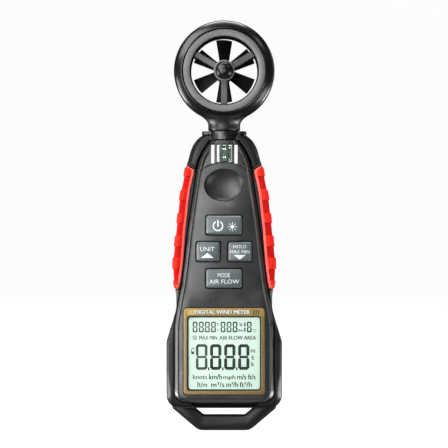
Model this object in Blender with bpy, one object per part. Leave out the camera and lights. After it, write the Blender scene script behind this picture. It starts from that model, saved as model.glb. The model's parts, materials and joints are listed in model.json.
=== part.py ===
"""Handheld weather meter: a vane head that swivels on a slim housing with four keys and a display.

The meter stands upright: +Z runs from the lanyard bar to the vane head, the display faces -Y and
the origin is under the middle of the foot. Every size below is in millimetres; add_object() turns
the finished mesh into metres.
"""

import math

import bmesh
import bpy
import numpy as np
from mathutils import Matrix, Vector

MM = 0.001
GAP = 0.3                       # air left between neighbouring pieces

# ---- housing -------------------------------------------------------------------------------------
FRONT = 14.5                    # the front panel's distance from the middle plane
PLATE = 2.4                     # thickness of the front panel's plate
TRAY_WALL = 1.6                 # side wall of the front shell
TRAY_BACK = -4.0                # how far back that wall reaches
SHELL_FLOOR = 0.4               # the electronics lie in front of this plane
# Half-widths up the housing: (z, half-width).
SHELL_WIDTH = [(10.6, 22.9), (11.4, 23.8), (12.8, 24.8), (14.9, 25.5), (38.5, 25.5), (43.5, 24.8),
               (49.5, 23.1), (55.5, 21.5), (59.0, 21.1), (62.5, 21.4), (67.0, 22.2), (73.0, 22.6),
               (84.0, 21.9), (93.0, 20.9), (101.7, 20.0), (110.6, 18.0), (117.3, 16.7),
               (119.2, 16.1), (124.8, 14.5), (128.4, 12.5), (130.6, 10.0)]
PANEL_WIDTH = [(16.7, 21.9), (45.0, 21.9), (51.0, 21.2), (58.5, 19.9), (67.5, 18.4), (78.9, 17.0),
               (93.3, 15.3), (104.0, 13.7), (114.0, 12.2), (115.6, 11.9), (119.0, 11.0),
               (122.3, 9.6), (125.6, 7.7), (128.2, 5.8)]
PANEL_CORNER = 4.0
PANEL_GAP, VENT_PANEL_GAP = 0.4, 1.1    # black line round the panel, wider beside the vents
# Depths up the housing: (z, distance in front of or behind the middle plane).
PANEL_DEPTH = [(12.7, 13.2), (14.7, FRONT), (98.0, FRONT), (106.0, 13.9), (114.0, 12.5),
               (121.0, 10.5), (128.4, 7.9)]
RIM_DEPTH = [(10.6, 11.0), (12.8, 12.9), (14.9, 13.3), (98.0, 13.3), (106.0, 12.8), (114.0, 11.5),
             (121.0, 9.3), (128.4, 6.5), (130.6, 5.8)]
BACK_DEPTH = [(10.6, 13.4), (12.0, 14.6), (13.2, 15.0), (80.0, 15.0), (100.0, 14.2), (115.0, 12.0),
              (124.0, 9.6), (130.6, 8.2)]
CHAMFER_WIDTH, CHAMFER_DEPTH = 2.0, 1.3

LOOP_HALF_DEPTH = 7.0
LOOP_OUTLINE = [(9.5, 0.0), (22.7, 9.5), (23.2, 12.4)]
SLOT_TOP, SLOT_LOW = (13.6, 10.0), (8.4, 5.0)

DIMPLE_Z, DIMPLE_X_RADIUS, DIMPLE_Z_RADIUS, DIMPLE_DEPTH = 108.6, 9.05, 8.0, 3.1
VENT_PITCH, VENT_HALF_WIDTH, VENT_LOW, VENT_TOP = 2.55, 0.65, 118.2, 127.0

# ---- side grips ----------------------------------------------------------------------------------
GRIP_LOW, GRIP_TOP = 62.8, 117.0
GRIP_WALL = 2.3
GRIP_FLANGE = 2.2               # thickness of the part that laps the front
GRIP_BACK = 9.0
GRIP_PROUD = 0.5
GRIP_INNER = [(62.8, 19.9), (67.5, 19.3), (78.9, 17.7), (93.3, 16.0), (104.0, 14.6), (114.0, 13.1),
              (117.0, 12.9)]
GRIP_BLOCKS = [(62.8, 66.4), (71.5, 76.6), (81.4, 86.2), (91.8, 96.1), (101.9, 106.5), (112.5, 117.0)]

# ---- display -------------------------------------------------------------------------------------
BEZEL = (17.9, 16.3, 54.4, 1.6)         # half-width, bottom, top, corner radius
WINDOW = (16.3, 18.0, 50.9, 1.4)
LENS_LEDGE = 0.3                        # the front shell's rim behind the lens
LCD = (16.6, 18.6, 53.4)

# ---- keys: name, middle x, middle z, width, height -----------------------------------------------
KEYS = [("power", 0.0, 90.9, 15.9, 8.4), ("unit", -7.0, 79.25, 10.5, 8.5),
        ("hold", 7.0, 79.25, 10.5, 8.5), ("mode", 0.0, 67.45, 15.9, 8.4)]
KEY_PROUD = 0.5
KEY_SLOT_GAP = 0.4
PCB_FRONT, PCB_BACK = -6.6, -5.0
SCREW_PLACES = [(-13.2, 71.5), (13.2, 71.5), (-9.3, 101.5), (9.3, 101.5)]
SCREW_SEAT = 6.0

# ---- battery bay ---------------------------------------------------------------------------------
CELL_RADIUS, CELL_BODY, CELL_NUB = 5.25, 43.1, 1.2
CELL_X, CELL_Y, CELL_LOW = 11.0, 7.6, 21.2
BAY_HALF_WIDTH, BAY_LOW, BAY_TOP, BAY_FLOOR = 16.7, 18.3, 66.8, 2.0
DOOR_HALF_WIDTH, DOOR_LOW, DOOR_TOP = 16.9, 13.2, 68.0
DOOR_INNER, DOOR_OUTER, DOOR_TONGUE, TONGUE_WIDTH = 13.2, 15.0, 14.1, 1.0

# ---- vane head -----------------------------------------------------------------------------------
HEAD_Z = 159.4
HEAD_RADIUS, DUCT_RADIUS, HEAD_HALF_DEPTH = 22.35, 15.1, 9.0
GUARD_INNER, GUARD_OUTER = 15.7, 18.3
GUARD_FRONT, GUARD_BACK, ARM_FRONT = 8.2, 5.3, 6.9
ARM_WIDTH, ARM_ANGLES = 2.9, (-90, 30, 150)
HUB_RADIUS, CAP_RADIUS = 4.7, 3.95
NECK_RADIUS, SEAM_Z = 7.15, 132.6
COLLAR_RADIUS, COLLAR_LOW = 7.65, 128.7
SPIGOT_RADIUS, SPIGOT_END_RADIUS, CABLE_BORE = 5.0, 3.9, 2.2
CLIP_RADIUS, CLIP_LOW = 6.3, 127.6
BLADES = 6
BLADE_ROOT, BLADE_TIP = (3.4, 2.0, 2.0), (13.9, 3.7, 2.5)   # radius, half-width, half-depth
BLADE_THICKNESS = 0.8

COLOURS = {                     # slot: (colour, roughness, metallic)
    "black_plastic": ((0.022, 0.022, 0.024), 0.45, 0.0),
    "grey_plastic": ((0.075, 0.076, 0.080), 0.45, 0.0),
    "gloss_black": ((0.010, 0.010, 0.011), 0.15, 0.0),
    "guard_grey": ((0.270, 0.270, 0.275), 0.40, 0.0),
    "blade_black": ((0.012, 0.012, 0.013), 0.35, 0.0),
    "red_rubber": ((0.820, 0.040, 0.020), 0.55, 0.0),
    "key_grey": ((0.150, 0.175, 0.190), 0.50, 0.0),
    "gold_trim": ((0.550, 0.370, 0.080), 0.35, 0.6),
    "clear_lens": ((0.900, 0.950, 0.920), 0.05, 0.0),
    "lcd_green": ((0.620, 0.800, 0.660), 0.30, 0.0),
    "white_plastic": ((0.750, 0.760, 0.750), 0.50, 0.0),
    "zebra_rubber": ((0.120, 0.110, 0.130), 0.70, 0.0),
    "pcb_green": ((0.020, 0.160, 0.060), 0.40, 0.0),
    "chip_black": ((0.020, 0.020, 0.022), 0.50, 0.0),
    "switch_metal": ((0.600, 0.600, 0.600), 0.35, 1.0),
    "steel": ((0.550, 0.550, 0.560), 0.30, 1.0),
    "bearing_brass": ((0.650, 0.480, 0.200), 0.30, 1.0),
    "cell_jacket": ((0.080, 0.140, 0.300), 0.40, 0.2),
    "cable_black": ((0.020, 0.020, 0.020), 0.60, 0.0),
}


# ---- helpers -------------------------------------------------------------------------------------
def clear_scene():
    for obj in list(bpy.data.objects):
        bpy.data.objects.remove(obj, do_unlink=True)


def material(slot):
    found = bpy.data.materials.get(slot)
    if found:
        return found
    colour, roughness, metallic = COLOURS[slot]
    made = bpy.data.materials.new(slot)
    made.use_nodes = True
    shader = made.node_tree.nodes["Principled BSDF"]
    shader.inputs["Base Color"].default_value = (*colour, 1.0)
    shader.inputs["Roughness"].default_value = roughness
    shader.inputs["Metallic"].default_value = metallic
    return made


def add_object(name, bm, slot, pivot=(0.0, 0.0, 0.0)):
    """Link a mesh drawn in millimetres as an object in metres with its origin at the pivot."""
    bmesh.ops.remove_doubles(bm, verts=bm.verts, dist=0.001)
    bmesh.ops.recalc_face_normals(bm, faces=bm.faces)
    bmesh.ops.translate(bm, verts=bm.verts, vec=-Vector(pivot))
    bmesh.ops.scale(bm, verts=bm.verts, vec=(MM, MM, MM))
    mesh = bpy.data.meshes.new(name)
    bm.to_mesh(mesh)
    bm.free()
    mesh.shade_smooth()
    mesh.set_sharp_from_angle(angle=math.radians(32))
    obj = bpy.data.objects.new(name, mesh)
    obj.location = Vector(pivot) * MM
    bpy.context.collection.objects.link(obj)
    if slot:
        mesh.materials.append(material(slot))
    return obj


def skin(name, rings, slot=None, pivot=(0.0, 0.0, 0.0)):
    """A solid through closed rings of points, with the first and the last ring filled."""
    bm = bmesh.new()
    loops = [[bm.verts.new(point) for point in ring] for ring in rings]
    for low, high in zip(loops, loops[1:]):
        for i in range(len(low)):
            j = (i + 1) % len(low)
            bm.faces.new((low[i], low[j], high[j], high[i]))
    bm.faces.new(loops[0][::-1])
    bm.faces.new(loops[-1])
    return add_object(name, bm, slot, pivot)


def block(name, low, high, slot=None):
    """A box between two corners."""
    (x0, y0, z0), (x1, y1, z1) = low, high
    return skin(name, [[(x0, y0, z), (x1, y0, z), (x1, y1, z), (x0, y1, z)] for z in (z0, z1)], slot)


def prism(name, outline, depths, slot=None, pivot=(0.0, 0.0, 0.0)):
    """An outline in XZ drawn along Y; depths holds (y, how far the outline is pulled in)."""
    rings = [[(x, y, z) for x, z in pull_in(outline, inset)] for y, inset in depths]
    return skin(name, rings, slot, pivot)


def turned(name, profile, steps, slot=None, centre=(0.0, 0.0, 0.0), axis="Y", pivot=(0.0, 0.0, 0.0)):
    """Spin a closed profile of (radius, height) about an axis through the centre."""
    bm = bmesh.new()
    along = Vector((0, 1, 0)) if axis == "Y" else Vector((0, 0, 1))
    verts = [bm.verts.new(Vector(centre) + Vector((radius, 0, 0)) + along * height)
             for radius, height in profile]
    edges = [bm.edges.new((a, b)) for a, b in zip(verts, verts[1:] + verts[:1])
             if profile[verts.index(a)][0] > 0 or profile[verts.index(b)][0] > 0]
    bmesh.ops.spin(bm, geom=verts + edges, cent=centre, axis=along, angle=math.tau, steps=steps,
                   use_merge=True)
    return add_object(name, bm, slot, pivot)


def rod(name, radius, low, high, steps=12, slot=None, pivot=(0.0, 0.0, 0.0)):
    """A plain cylinder between two points."""
    low, high = Vector(low), Vector(high)
    turn = (high - low).to_track_quat("Z", "Y")
    rings = [[tuple(end + turn @ Vector((radius * math.cos(a), radius * math.sin(a), 0)))
              for a in np.linspace(0, math.tau, steps, endpoint=False)] for end in (low, high)]
    return skin(name, rings, slot, pivot)


def pull_in(outline, inset):
    """The outline moved inwards by the inset, or outwards when it is negative."""
    points = [Vector(p) for p in outline]
    area = sum(a.x * b.y - b.x * a.y for a, b in zip(points, points[1:] + points[:1]))
    side = 1.0 if area > 0 else -1.0
    moved = []
    for before, here, after in zip(points[-1:] + points[:-1], points, points[1:] + points[:1]):
        first, second = (here - before).normalized(), (after - here).normalized()
        normal = Vector((-first.y - second.y, first.x + second.x)).normalized()
        stretch = max(normal.dot(Vector((-first.y, first.x))), 0.4)
        moved.append(tuple(here + normal * (side * inset / stretch)))
    return moved


def at(table, z):
    return float(np.interp(z, [row[0] for row in table], [row[1] for row in table]))


def mirrored(right_side):
    """A whole outline from its right half, which runs from the bottom to the top."""
    return right_side + [(-x, z) for x, z in reversed(right_side) if x > 0]


def rounded(half_width, low, top, radius, steps=3, middle=0.0):
    """A rectangle in XZ with round corners."""
    corners = [(half_width, low, -90), (half_width, top, 0), (-half_width, top, 90),
               (-half_width, low, 180)]
    outline = []
    for x, z, start in corners:
        cx = x - math.copysign(radius, x)
        cz = z + radius if z == low else z - radius
        for i in range(steps + 1):
            angle = math.radians(start + 90 * i / steps)
            outline.append((middle + cx + radius * math.cos(angle), cz + radius * math.sin(angle)))
    return outline


def combine(target, tool, operation):
    """Cut the tool away from the target, or join it on."""
    tool.hide_render = True
    tool.display_type = "WIRE"
    step = target.modifiers.new(tool.name, "BOOLEAN")
    step.operation = operation
    step.solver = "EXACT"
    step.object = tool


def cut(target, *tools):
    for tool in tools:
        combine(target, tool, "DIFFERENCE")


def join(target, *tools):
    for tool in tools:
        combine(target, tool, "UNION")


# ---- housing -------------------------------------------------------------------------------------
def panel_outline(grow=0.0, vent_grow=0.0):
    """The front panel's outline; below the vents it grows by one amount and beside them by another."""
    turn = [math.radians(-90 + 22.5 * i) for i in range(4)]
    x0, z0 = PANEL_WIDTH[0][1] - PANEL_CORNER, PANEL_WIDTH[0][0]
    radius = PANEL_CORNER + grow
    half = [(x0 + radius * math.cos(a), z0 + radius * math.sin(a)) for a in turn]
    half += [(x + (grow if z < 115.0 else vent_grow), z) for z, x in PANEL_WIDTH]
    half[-1] = (half[-1][0], half[-1][1] + grow)
    return mirrored(half)


def inner_outline(margin, low, top):
    """The front panel's outline between two heights, narrowed by a margin."""
    corner = [(at(PANEL_WIDTH, low) - margin - 1.4, low), (at(PANEL_WIDTH, low) - margin, low + 2.6)]
    middle = [(x - margin, z) for z, x in PANEL_WIDTH if low + 2.6 < z < top]
    return mirrored(corner + middle + [(at(PANEL_WIDTH, top) - margin, top)])


def shell_ring(z):
    """The rear shell's section: a chamfer at the front rim and a rounded back edge."""
    w, front, back = at(SHELL_WIDTH, z), -at(RIM_DEPTH, z), at(BACK_DEPTH, z)
    right = [(w - 1.2, front), (w, front + 1.4), (w, back - 4.0), (w - 0.6, back - 1.8),
             (w - 1.6, back - 0.5), (w - 3.0, back)]
    return [(x, y, z) for x, y in right + [(-x, y) for x, y in right[::-1]]]


def build_rear_shell():
    heights = sorted({row[0] for table in (SHELL_WIDTH, RIM_DEPTH, BACK_DEPTH) for row in table})
    shell = skin("rear_shell", [shell_ring(z) for z in heights], "black_plastic")

    loop = prism("tool_loop", mirrored(LOOP_OUTLINE),
                 [(-LOOP_HALF_DEPTH, 1.0), (-LOOP_HALF_DEPTH + 1, 0), (LOOP_HALF_DEPTH - 1, 0),
                  (LOOP_HALF_DEPTH, 1.0)])
    join(shell, loop)

    cut(shell, prism("tool_tray_space", panel_outline(PANEL_GAP, VENT_PANEL_GAP), [(-20, 0), (SHELL_FLOOR, 0)]))
    cavity = []
    for z in (72.5, 84.0, 93.0, 101.7, 110.6, 117.3, 124.0, 127.6):
        w, back = at(SHELL_WIDTH, z) - 4.4, at(BACK_DEPTH, z) - 2.4
        cavity.append([(-w, -1, z), (w, -1, z), (w, back, z), (-w, back, z)])
    cut(shell, skin("tool_upper_space", cavity))

    for i, (x, z) in enumerate(SCREW_PLACES, 1):
        back = at(BACK_DEPTH, z)
        join(shell, rod(f"tool_post_{i}", 3.3, (x, 0.0, z), (x, back - 1.2, z), 20))
    for i, (x, z) in enumerate(SCREW_PLACES, 1):
        cut(shell, rod(f"tool_head_hole_{i}", 2.5, (x, SCREW_SEAT, z), (x, 17, z), 20),
            rod(f"tool_screw_hole_{i}", 1.45, (x, -2, z), (x, SCREW_SEAT + 1, z), 16))

    recess, tongue = DOOR_HALF_WIDTH + GAP, DOOR_HALF_WIDTH + TONGUE_WIDTH + GAP
    cut(shell,
        block("tool_bay", (-BAY_HALF_WIDTH, BAY_FLOOR, BAY_LOW), (BAY_HALF_WIDTH, 17, BAY_TOP)),
        block("tool_door_recess", (-recess, DOOR_INNER - GAP, 5), (recess, 17, DOOR_TOP + GAP)),
        block("tool_door_groove", (-tongue, DOOR_INNER - GAP, 5),
              (tongue, DOOR_TONGUE + GAP, DOOR_TOP + GAP)))

    for side, word in ((-1, "left"), (1, "right")):
        cut(shell, skin(f"tool_grip_{word}", [grip_recess_ring(side, z) for z in
                                              [GRIP_LOW - GAP] + GRIP_HEIGHTS[1:-1] + [GRIP_TOP + GAP]]))

    cut(shell, rod("tool_collar_seat", COLLAR_RADIUS + GAP, (0, 0, COLLAR_LOW - GAP), (0, 0, 140), 32),
        rod("tool_rear_clip_space", CLIP_RADIUS + GAP, (0, 0, CLIP_LOW - GAP), (0, 0, 129), 24))
    for i, x in enumerate(vent_places(), 1):
        cut(shell, block(f"tool_back_vent_{i}", (x - VENT_HALF_WIDTH - 0.15, 3, VENT_LOW - 0.3),
                         (x + VENT_HALF_WIDTH + 0.15, 17, VENT_TOP)))

    slot = mirrored([SLOT_LOW, SLOT_TOP])
    cut(shell, prism("tool_strap_slot", slot, [(-9, 0), (9, 0)]))
    return shell


def vent_places():
    return [VENT_PITCH * i for i in (-2, -1, 0, 1, 2)]


def front_ring(x, z):
    """The front shell's section: a flat face between two chamfers, drawn back to the tray's edge."""
    front = -at(PANEL_DEPTH, z)
    flat = x - CHAMFER_WIDTH
    return [(-x, TRAY_BACK, z), (x, TRAY_BACK, z), (x, front + CHAMFER_DEPTH, z), (flat, front, z),
            (-flat, front, z), (-x, front + CHAMFER_DEPTH, z)]


def build_front_shell():
    half = [(x, z) for x, z in panel_outline() if x > 0]
    heights = sorted({z for _, z in half} | {14.7, 98.0, 106.0, 110.0, 121.0})
    widths = [(z, x) for x, z in half]
    shell = skin("front_shell", [front_ring(at(widths, z), z) for z in heights], "grey_plastic")

    tray_top, inside = 98.5, -FRONT + PLATE
    cut(shell, prism("tool_tray", inner_outline(TRAY_WALL, 14.6, tray_top), [(inside, 0), (0, 0)]))
    behind_dimple = mirrored([(at(PANEL_WIDTH, tray_top - 1) - TRAY_WALL - 0.3, tray_top - 1),
                              (at(PANEL_WIDTH, 117.0) - TRAY_WALL, 117.0)])
    cut(shell, prism("tool_dimple_back", behind_dimple, [(-8.4, 0), (0, 0)]))

    for i, (x, z) in enumerate(SCREW_PLACES, 1):
        root = inside - 0.4 if z < tray_top else -9.0
        join(shell, rod(f"tool_boss_{i}", 2.4, (x, root, z), (x, -0.4, z), 16))
    for i, (x, z) in enumerate(SCREW_PLACES, 1):
        cut(shell, rod(f"tool_boss_bore_{i}", 1.45, (x, -8.0, z), (x, 1, z), 16))

    half_width, low, top, radius = BEZEL
    cut(shell, prism("tool_bezel_seat", rounded(half_width + GAP, low - GAP, top + GAP, radius + GAP),
                     [(-17, 0), (-FRONT + 1.2, 0)]))
    half_width, low, top, radius = WINDOW
    ledge = GAP + LENS_LEDGE
    cut(shell, prism("tool_window", rounded(half_width - ledge, low + ledge, top - ledge, radius),
                     [(-17, 0), (-10, 0)]))
    for name, x, z, width, height in KEYS:
        w, h = width / 2 + KEY_SLOT_GAP, height / 2 + KEY_SLOT_GAP
        cut(shell, prism(f"tool_key_hole_{name}", rounded(w, z - h, z + h, 1.3, 3, x),
                         [(-17, 0), (-10, 0)]))

    cut(shell, rod("tool_clip_space", CLIP_RADIUS + GAP, (0, 0, CLIP_LOW - GAP), (0, 0, 130), 24))
    dimple_face = -at(PANEL_DEPTH, DIMPLE_Z)
    cut(shell, ball("tool_dimple", (0, dimple_face, DIMPLE_Z),
                    (DIMPLE_X_RADIUS, DIMPLE_DEPTH, DIMPLE_Z_RADIUS)))
    for i, x in enumerate(vent_places(), 1):
        cut(shell, block(f"tool_vent_{i}", (x - VENT_HALF_WIDTH, -17, VENT_LOW),
                         (x + VENT_HALF_WIDTH, 0, VENT_TOP)))
    return shell


def ball(name, centre, radii):
    bm = bmesh.new()
    bmesh.ops.create_uvsphere(bm, u_segments=28, v_segments=14, radius=1.0)
    bmesh.ops.transform(bm, verts=bm.verts, matrix=Matrix.Rotation(math.radians(90), 4, "X"))
    bmesh.ops.scale(bm, verts=bm.verts, vec=radii)
    bmesh.ops.translate(bm, verts=bm.verts, vec=centre)
    return add_object(name, bm, None)


# ---- side grips ----------------------------------------------------------------------------------
def grip_stations():
    """Heights up the grip, each with 1 on a raised block and 0 between blocks."""
    ramp, rows = 0.3, [(GRIP_LOW, 1)]
    for low, top in GRIP_BLOCKS:
        if low > GRIP_LOW:
            rows += [(low - ramp, 0), (low + ramp, 1)]
        if top < GRIP_TOP:
            rows += [(top - ramp, 1), (top + ramp, 0)]
    rows.append((GRIP_TOP, 1))
    return rows


GRIP_HEIGHTS = [GRIP_LOW, 66.4, 73.0, 78.9, 84.0, 93.3, 98.0, 104.0, 110.6, 114.0, GRIP_TOP]


def grip_wall(z):
    """Half-width to the grip's inner side, which never passes the edge of the front strip."""
    return max(at(SHELL_WIDTH, z) - GRIP_WALL, at(GRIP_INNER, z) + 0.3)


def grip_ring(side, z, raised):
    w, inner, front = at(SHELL_WIDTH, z), at(GRIP_INNER, z), -at(RIM_DEPTH, z) - 0.2
    back, lift = GRIP_BACK * at(BACK_DEPTH, z) / 15.0, GRIP_PROUD * raised
    ring = [(inner, front + 0.3), (inner + 0.4, front), (inner + 1.3, front),
            (inner + 1.6, front - lift), (w - 1.0, front - lift), (w + lift, front + 0.9),
            (w + lift, back - 0.6), (w + lift - 0.6, back), (grip_wall(z), back),
            (grip_wall(z), front + GRIP_FLANGE), (inner, front + GRIP_FLANGE)]
    return [(side * x, y, z) for x, y in ring]


def grip_recess_ring(side, z):
    w, inner, front = at(SHELL_WIDTH, z), at(GRIP_INNER, z) - GAP, -at(RIM_DEPTH, z) - 0.2
    back, wall = GRIP_BACK * at(BACK_DEPTH, z) / 15.0 + GAP, grip_wall(z) - GAP
    flange = front + GRIP_FLANGE + GAP
    ring = [(inner, front - 3), (w + 3, front - 3), (w + 3, back), (wall, back), (wall, flange),
            (inner, flange)]
    return [(side * x, y, z) for x, y in ring]


def build_grips():
    for side, word in ((-1, "left"), (1, "right")):
        skin(f"side_grip_{word}", [grip_ring(side, z, raised) for z, raised in grip_stations()],
             "red_rubber")


# ---- display -------------------------------------------------------------------------------------
def build_display():
    front = -FRONT
    half_width, low, top, radius = BEZEL
    bezel = prism("display_bezel", rounded(half_width, low, top, radius),
                  [(front - 0.1, 0.3), (front + 0.2, 0), (front + 0.9, 0)], "gold_trim")
    half_width, low, top, radius = WINDOW
    cut(bezel, prism("tool_bezel_window", rounded(half_width, low, top, radius), [(-17, 0), (-10, 0)]))
    prism("display_lens", rounded(half_width - GAP, low + GAP, top - GAP, radius),
          [(front, 0.3), (front + 0.3, 0), (front + 0.9, 0)], "clear_lens")

    half_width, low, top = LCD
    panel_front = front + PLATE + GAP
    block("lcd_panel", (-half_width, panel_front, low), (half_width, panel_front + 2.0, top),
          "lcd_green")
    light_front = panel_front + 2.0 + GAP
    block("lcd_backlight", (-half_width, light_front, low), (half_width, light_front + 2.2, 50.2),
          "white_plastic")
    block("zebra_strip", (-15.0, light_front, 50.7), (15.0, PCB_FRONT - GAP, 52.9), "zebra_rubber")
    holder = block("lcd_holder", (-18.3, panel_front, low - 2.0), (18.3, PCB_FRONT - GAP, top + 1.8),
                   "white_plastic")
    cut(holder, block("tool_holder_opening", (-half_width - GAP, -16, low - GAP),
                      (half_width + GAP, 0, top + GAP)))


# ---- keys and electronics ------------------------------------------------------------------------
def build_keys():
    front, inside = -FRONT - KEY_PROUD, -FRONT + PLATE
    for name, x, z, width, height in KEYS:
        cap = rounded(width / 2, z - height / 2, z + height / 2, 1.1, 2, x)
        flange = inside + GAP
        prism(f"key_{name}", cap,
              [(front, 0.5), (front + 0.5, 0), (flange, 0), (flange, -0.8), (flange + 0.9, -0.8)],
              "key_grey", pivot=(x, flange, z))


def build_electronics():
    board = prism("main_pcb", inner_outline(TRAY_WALL + 0.5, 15.4, 98.0),
                  [(PCB_FRONT, 0), (PCB_BACK, 0)], "pcb_green")
    for i, (x, z) in enumerate(SCREW_PLACES[:2], 1):
        cut(board, rod(f"tool_board_notch_{i}", 2.8, (x, -8, z), (x, -3, z), 16))
    block("microcontroller", (-5.0, PCB_BACK + GAP, 28.0), (5.0, PCB_BACK + 1.9, 38.0), "chip_black")
    for name, x, z, _, _ in KEYS:
        low, top = PCB_FRONT - GAP, -FRONT + PLATE + 2.1
        turned(f"key_switch_{name}", [(0, low), (3.4, low), (3.4, low - 2.0), (1.5, low - 2.0),
                                      (1.5, top), (0, top)], 12, "switch_metal", (x, 0, z))
    block("sensor_pcb", (-2.2, -2.6, 119.2), (3.2, -1.6, 126.2), "pcb_green")
    block("air_sensor", (-0.8, -3.9, 121.6), (1.8, -2.9, 124.2), "chip_black")
    rod("sensor_lead", 0.8, (0.5, -2.1, 98.5), (0.5, -2.1, 118.9), 8, "cable_black")
    rod("body_cable", 0.9, (0.0, 1.2, 98.5), (0.0, 1.2, 126.4), 8, "cable_black")
    for i, (x, z) in enumerate(SCREW_PLACES, 1):
        turned(f"case_screw_{i}", [(0, -7.0), (0.6, -7.0), (1.1, -6.0), (1.1, SCREW_SEAT + GAP),
                                   (2.1, SCREW_SEAT + GAP), (2.1, SCREW_SEAT + 1.4),
                                   (1.3, SCREW_SEAT + 1.9), (0, SCREW_SEAT + 1.9)],
               12, "steel", (x, 0, z))


# ---- battery bay ---------------------------------------------------------------------------------
def build_batteries():
    for i, x in enumerate((-CELL_X, 0.0, CELL_X), 1):
        up = 1 if i != 2 else -1
        flat_end = CELL_LOW if up > 0 else BAY_LOW + BAY_TOP - CELL_LOW
        profile = [(0, 0), (4.4, 0), (CELL_RADIUS, 0.6), (CELL_RADIUS, CELL_BODY - 0.6),
                   (4.6, CELL_BODY), (1.9, CELL_BODY), (1.9, CELL_BODY + CELL_NUB),
                   (0, CELL_BODY + CELL_NUB)]
        turned(f"battery_cell_{i}", [(r, up * h) for r, h in profile], 20, "cell_jacket",
               (x, CELL_Y, flat_end), "Z")
        minus, plus = (BAY_LOW + GAP, BAY_TOP - GAP)[::up]
        turned_spring(f"battery_spring_{i}", x, minus, up)
        y0, y1, z0, z1 = CELL_Y - 4.0, CELL_Y + 4.0, plus, plus - up * 0.6
        block(f"battery_contact_{i}", (x - 4.2, y0, min(z0, z1)), (x + 4.2, y1, max(z0, z1)), "steel")


def turned_spring(name, x, end, up):
    """A contact spring: a tapering coil of wire that stands on the bay's end wall."""
    turns, per_turn, wire = 3, 12, 0.3
    wide, narrow, length = 3.6, 2.2, 1.9
    curve = bpy.data.curves.new(name, "CURVE")
    curve.dimensions = "3D"
    curve.bevel_depth = wire * MM
    curve.bevel_resolution = 0
    curve.use_fill_caps = True
    count = turns * per_turn + 1
    line = curve.splines.new("POLY")
    line.points.add(count - 1)
    for i in range(count):
        share = i / (count - 1)
        angle, radius = math.tau * turns * share, wide + (narrow - wide) * share
        z = end + up * (wire + length * share)
        line.points[i].co = (radius * math.cos(angle) * MM, radius * math.sin(angle) * MM,
                             (z - end) * MM, 1.0)
    curve.materials.append(material("steel"))
    spring = bpy.data.objects.new(name, curve)
    spring.location = Vector((x, CELL_Y, end)) * MM
    bpy.context.collection.objects.link(spring)


def build_battery_door():
    w, tongue = DOOR_HALF_WIDTH, DOOR_HALF_WIDTH + TONGUE_WIDTH
    section = [(-tongue, DOOR_INNER), (tongue, DOOR_INNER), (tongue, DOOR_TONGUE), (w, DOOR_TONGUE),
               (w, DOOR_OUTER), (-w, DOOR_OUTER), (-w, DOOR_TONGUE), (-tongue, DOOR_TONGUE)]
    door = skin("battery_door", [[(x, y, z) for x, y in section] for z in (DOOR_LOW, DOOR_TOP)],
                "black_plastic", pivot=(0, DOOR_INNER, DOOR_LOW))
    for i in range(5):
        z = 24.0 + 2.2 * i
        cut(door, block(f"tool_thumb_groove_{i + 1}", (-7 + 0.6 * i, 14.4, z), (7 - 0.6 * i, 16, z + 1.0)))


# ---- vane head -----------------------------------------------------------------------------------
CENTRE = (0.0, 0.0, HEAD_Z)


def build_collar():
    seat, top = 130.9, SEAM_Z
    profile = [(SPIGOT_RADIUS + GAP, COLLAR_LOW), (COLLAR_RADIUS, COLLAR_LOW), (COLLAR_RADIUS, top),
               (SPIGOT_RADIUS + GAP, top)]
    collar = turned("neck_collar", profile, 32, "black_plastic", axis="Z")
    wings = skin("tool_wings", [[(x, y, z) for x, y in
                                 [(-10, -5.2), (10, -5.2), (10, 7.4), (-10, 7.4)]] for z in (seat, top)])
    cut(wings, rod("tool_wing_bore", 6.6, (0, 0, 125), (0, 0, 135), 32))
    join(collar, wings)


def build_head():
    h, lip = HEAD_HALF_DEPTH, GUARD_BACK - GAP
    rim = [(GUARD_OUTER + GAP, h - 0.5), (19.3, h), (20.4, h - 0.3), (21.5, h - 1.8), (22.1, h - 4.0),
           (HEAD_RADIUS, h - 6.6)]
    outer = [(r, -y) for r, y in rim] + [(r, y) for r, y in rim[::-1]]
    profile = ([(DUCT_RADIUS, -lip), (GUARD_OUTER + GAP, -lip)] + outer
               + [(GUARD_OUTER + GAP, lip), (DUCT_RADIUS, lip)])
    head = turned("head_housing", profile, 48, "gloss_black", CENTRE, pivot=(0, 0, SEAM_Z))

    stations = [(SEAM_Z + 0.3, 7.15, 7.15), (135.4, 7.15, 7.15), (136.5, 7.6, 7.4), (137.7, 8.7, 7.8),
                (139.0, 10.1, 8.2), (140.2, 11.3, 8.2), (140.6, 11.8, 4.6), (142.6, 13.0, 4.6)]
    neck = [[(rx * math.cos(a), ry * math.sin(a), z)
             for a in np.linspace(0, math.tau, 32, endpoint=False)] for z, rx, ry in stations]
    join(head, skin("tool_neck", neck))
    join(head, rod("tool_spigot", SPIGOT_RADIUS, (0, 0, COLLAR_LOW), (0, 0, 134), 24),
         rod("tool_spigot_end", SPIGOT_END_RADIUS, (0, 0, CLIP_LOW - GAP), (0, 0, 130), 24))
    cut(head, rod("tool_cable_bore", CABLE_BORE, (0, 0, 120), (0, 0, 143.2), 16))
    inner, top = SPIGOT_END_RADIUS + GAP, CLIP_LOW + 0.6
    turned("swivel_clip", [(inner, CLIP_LOW), (CLIP_RADIUS, CLIP_LOW), (CLIP_RADIUS, top), (inner, top)],
           24, "steel", axis="Z", pivot=(0, 0, SEAM_Z))
    block("blade_sensor", (-1.3, -1.2, 141.2), (1.3, 1.2, 142.8), "chip_black")
    rod("head_cable", 0.9, (0, 0, 127.6), (0, 0, 140.9), 8, "cable_black", pivot=(0, 0, SEAM_Z))


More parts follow.
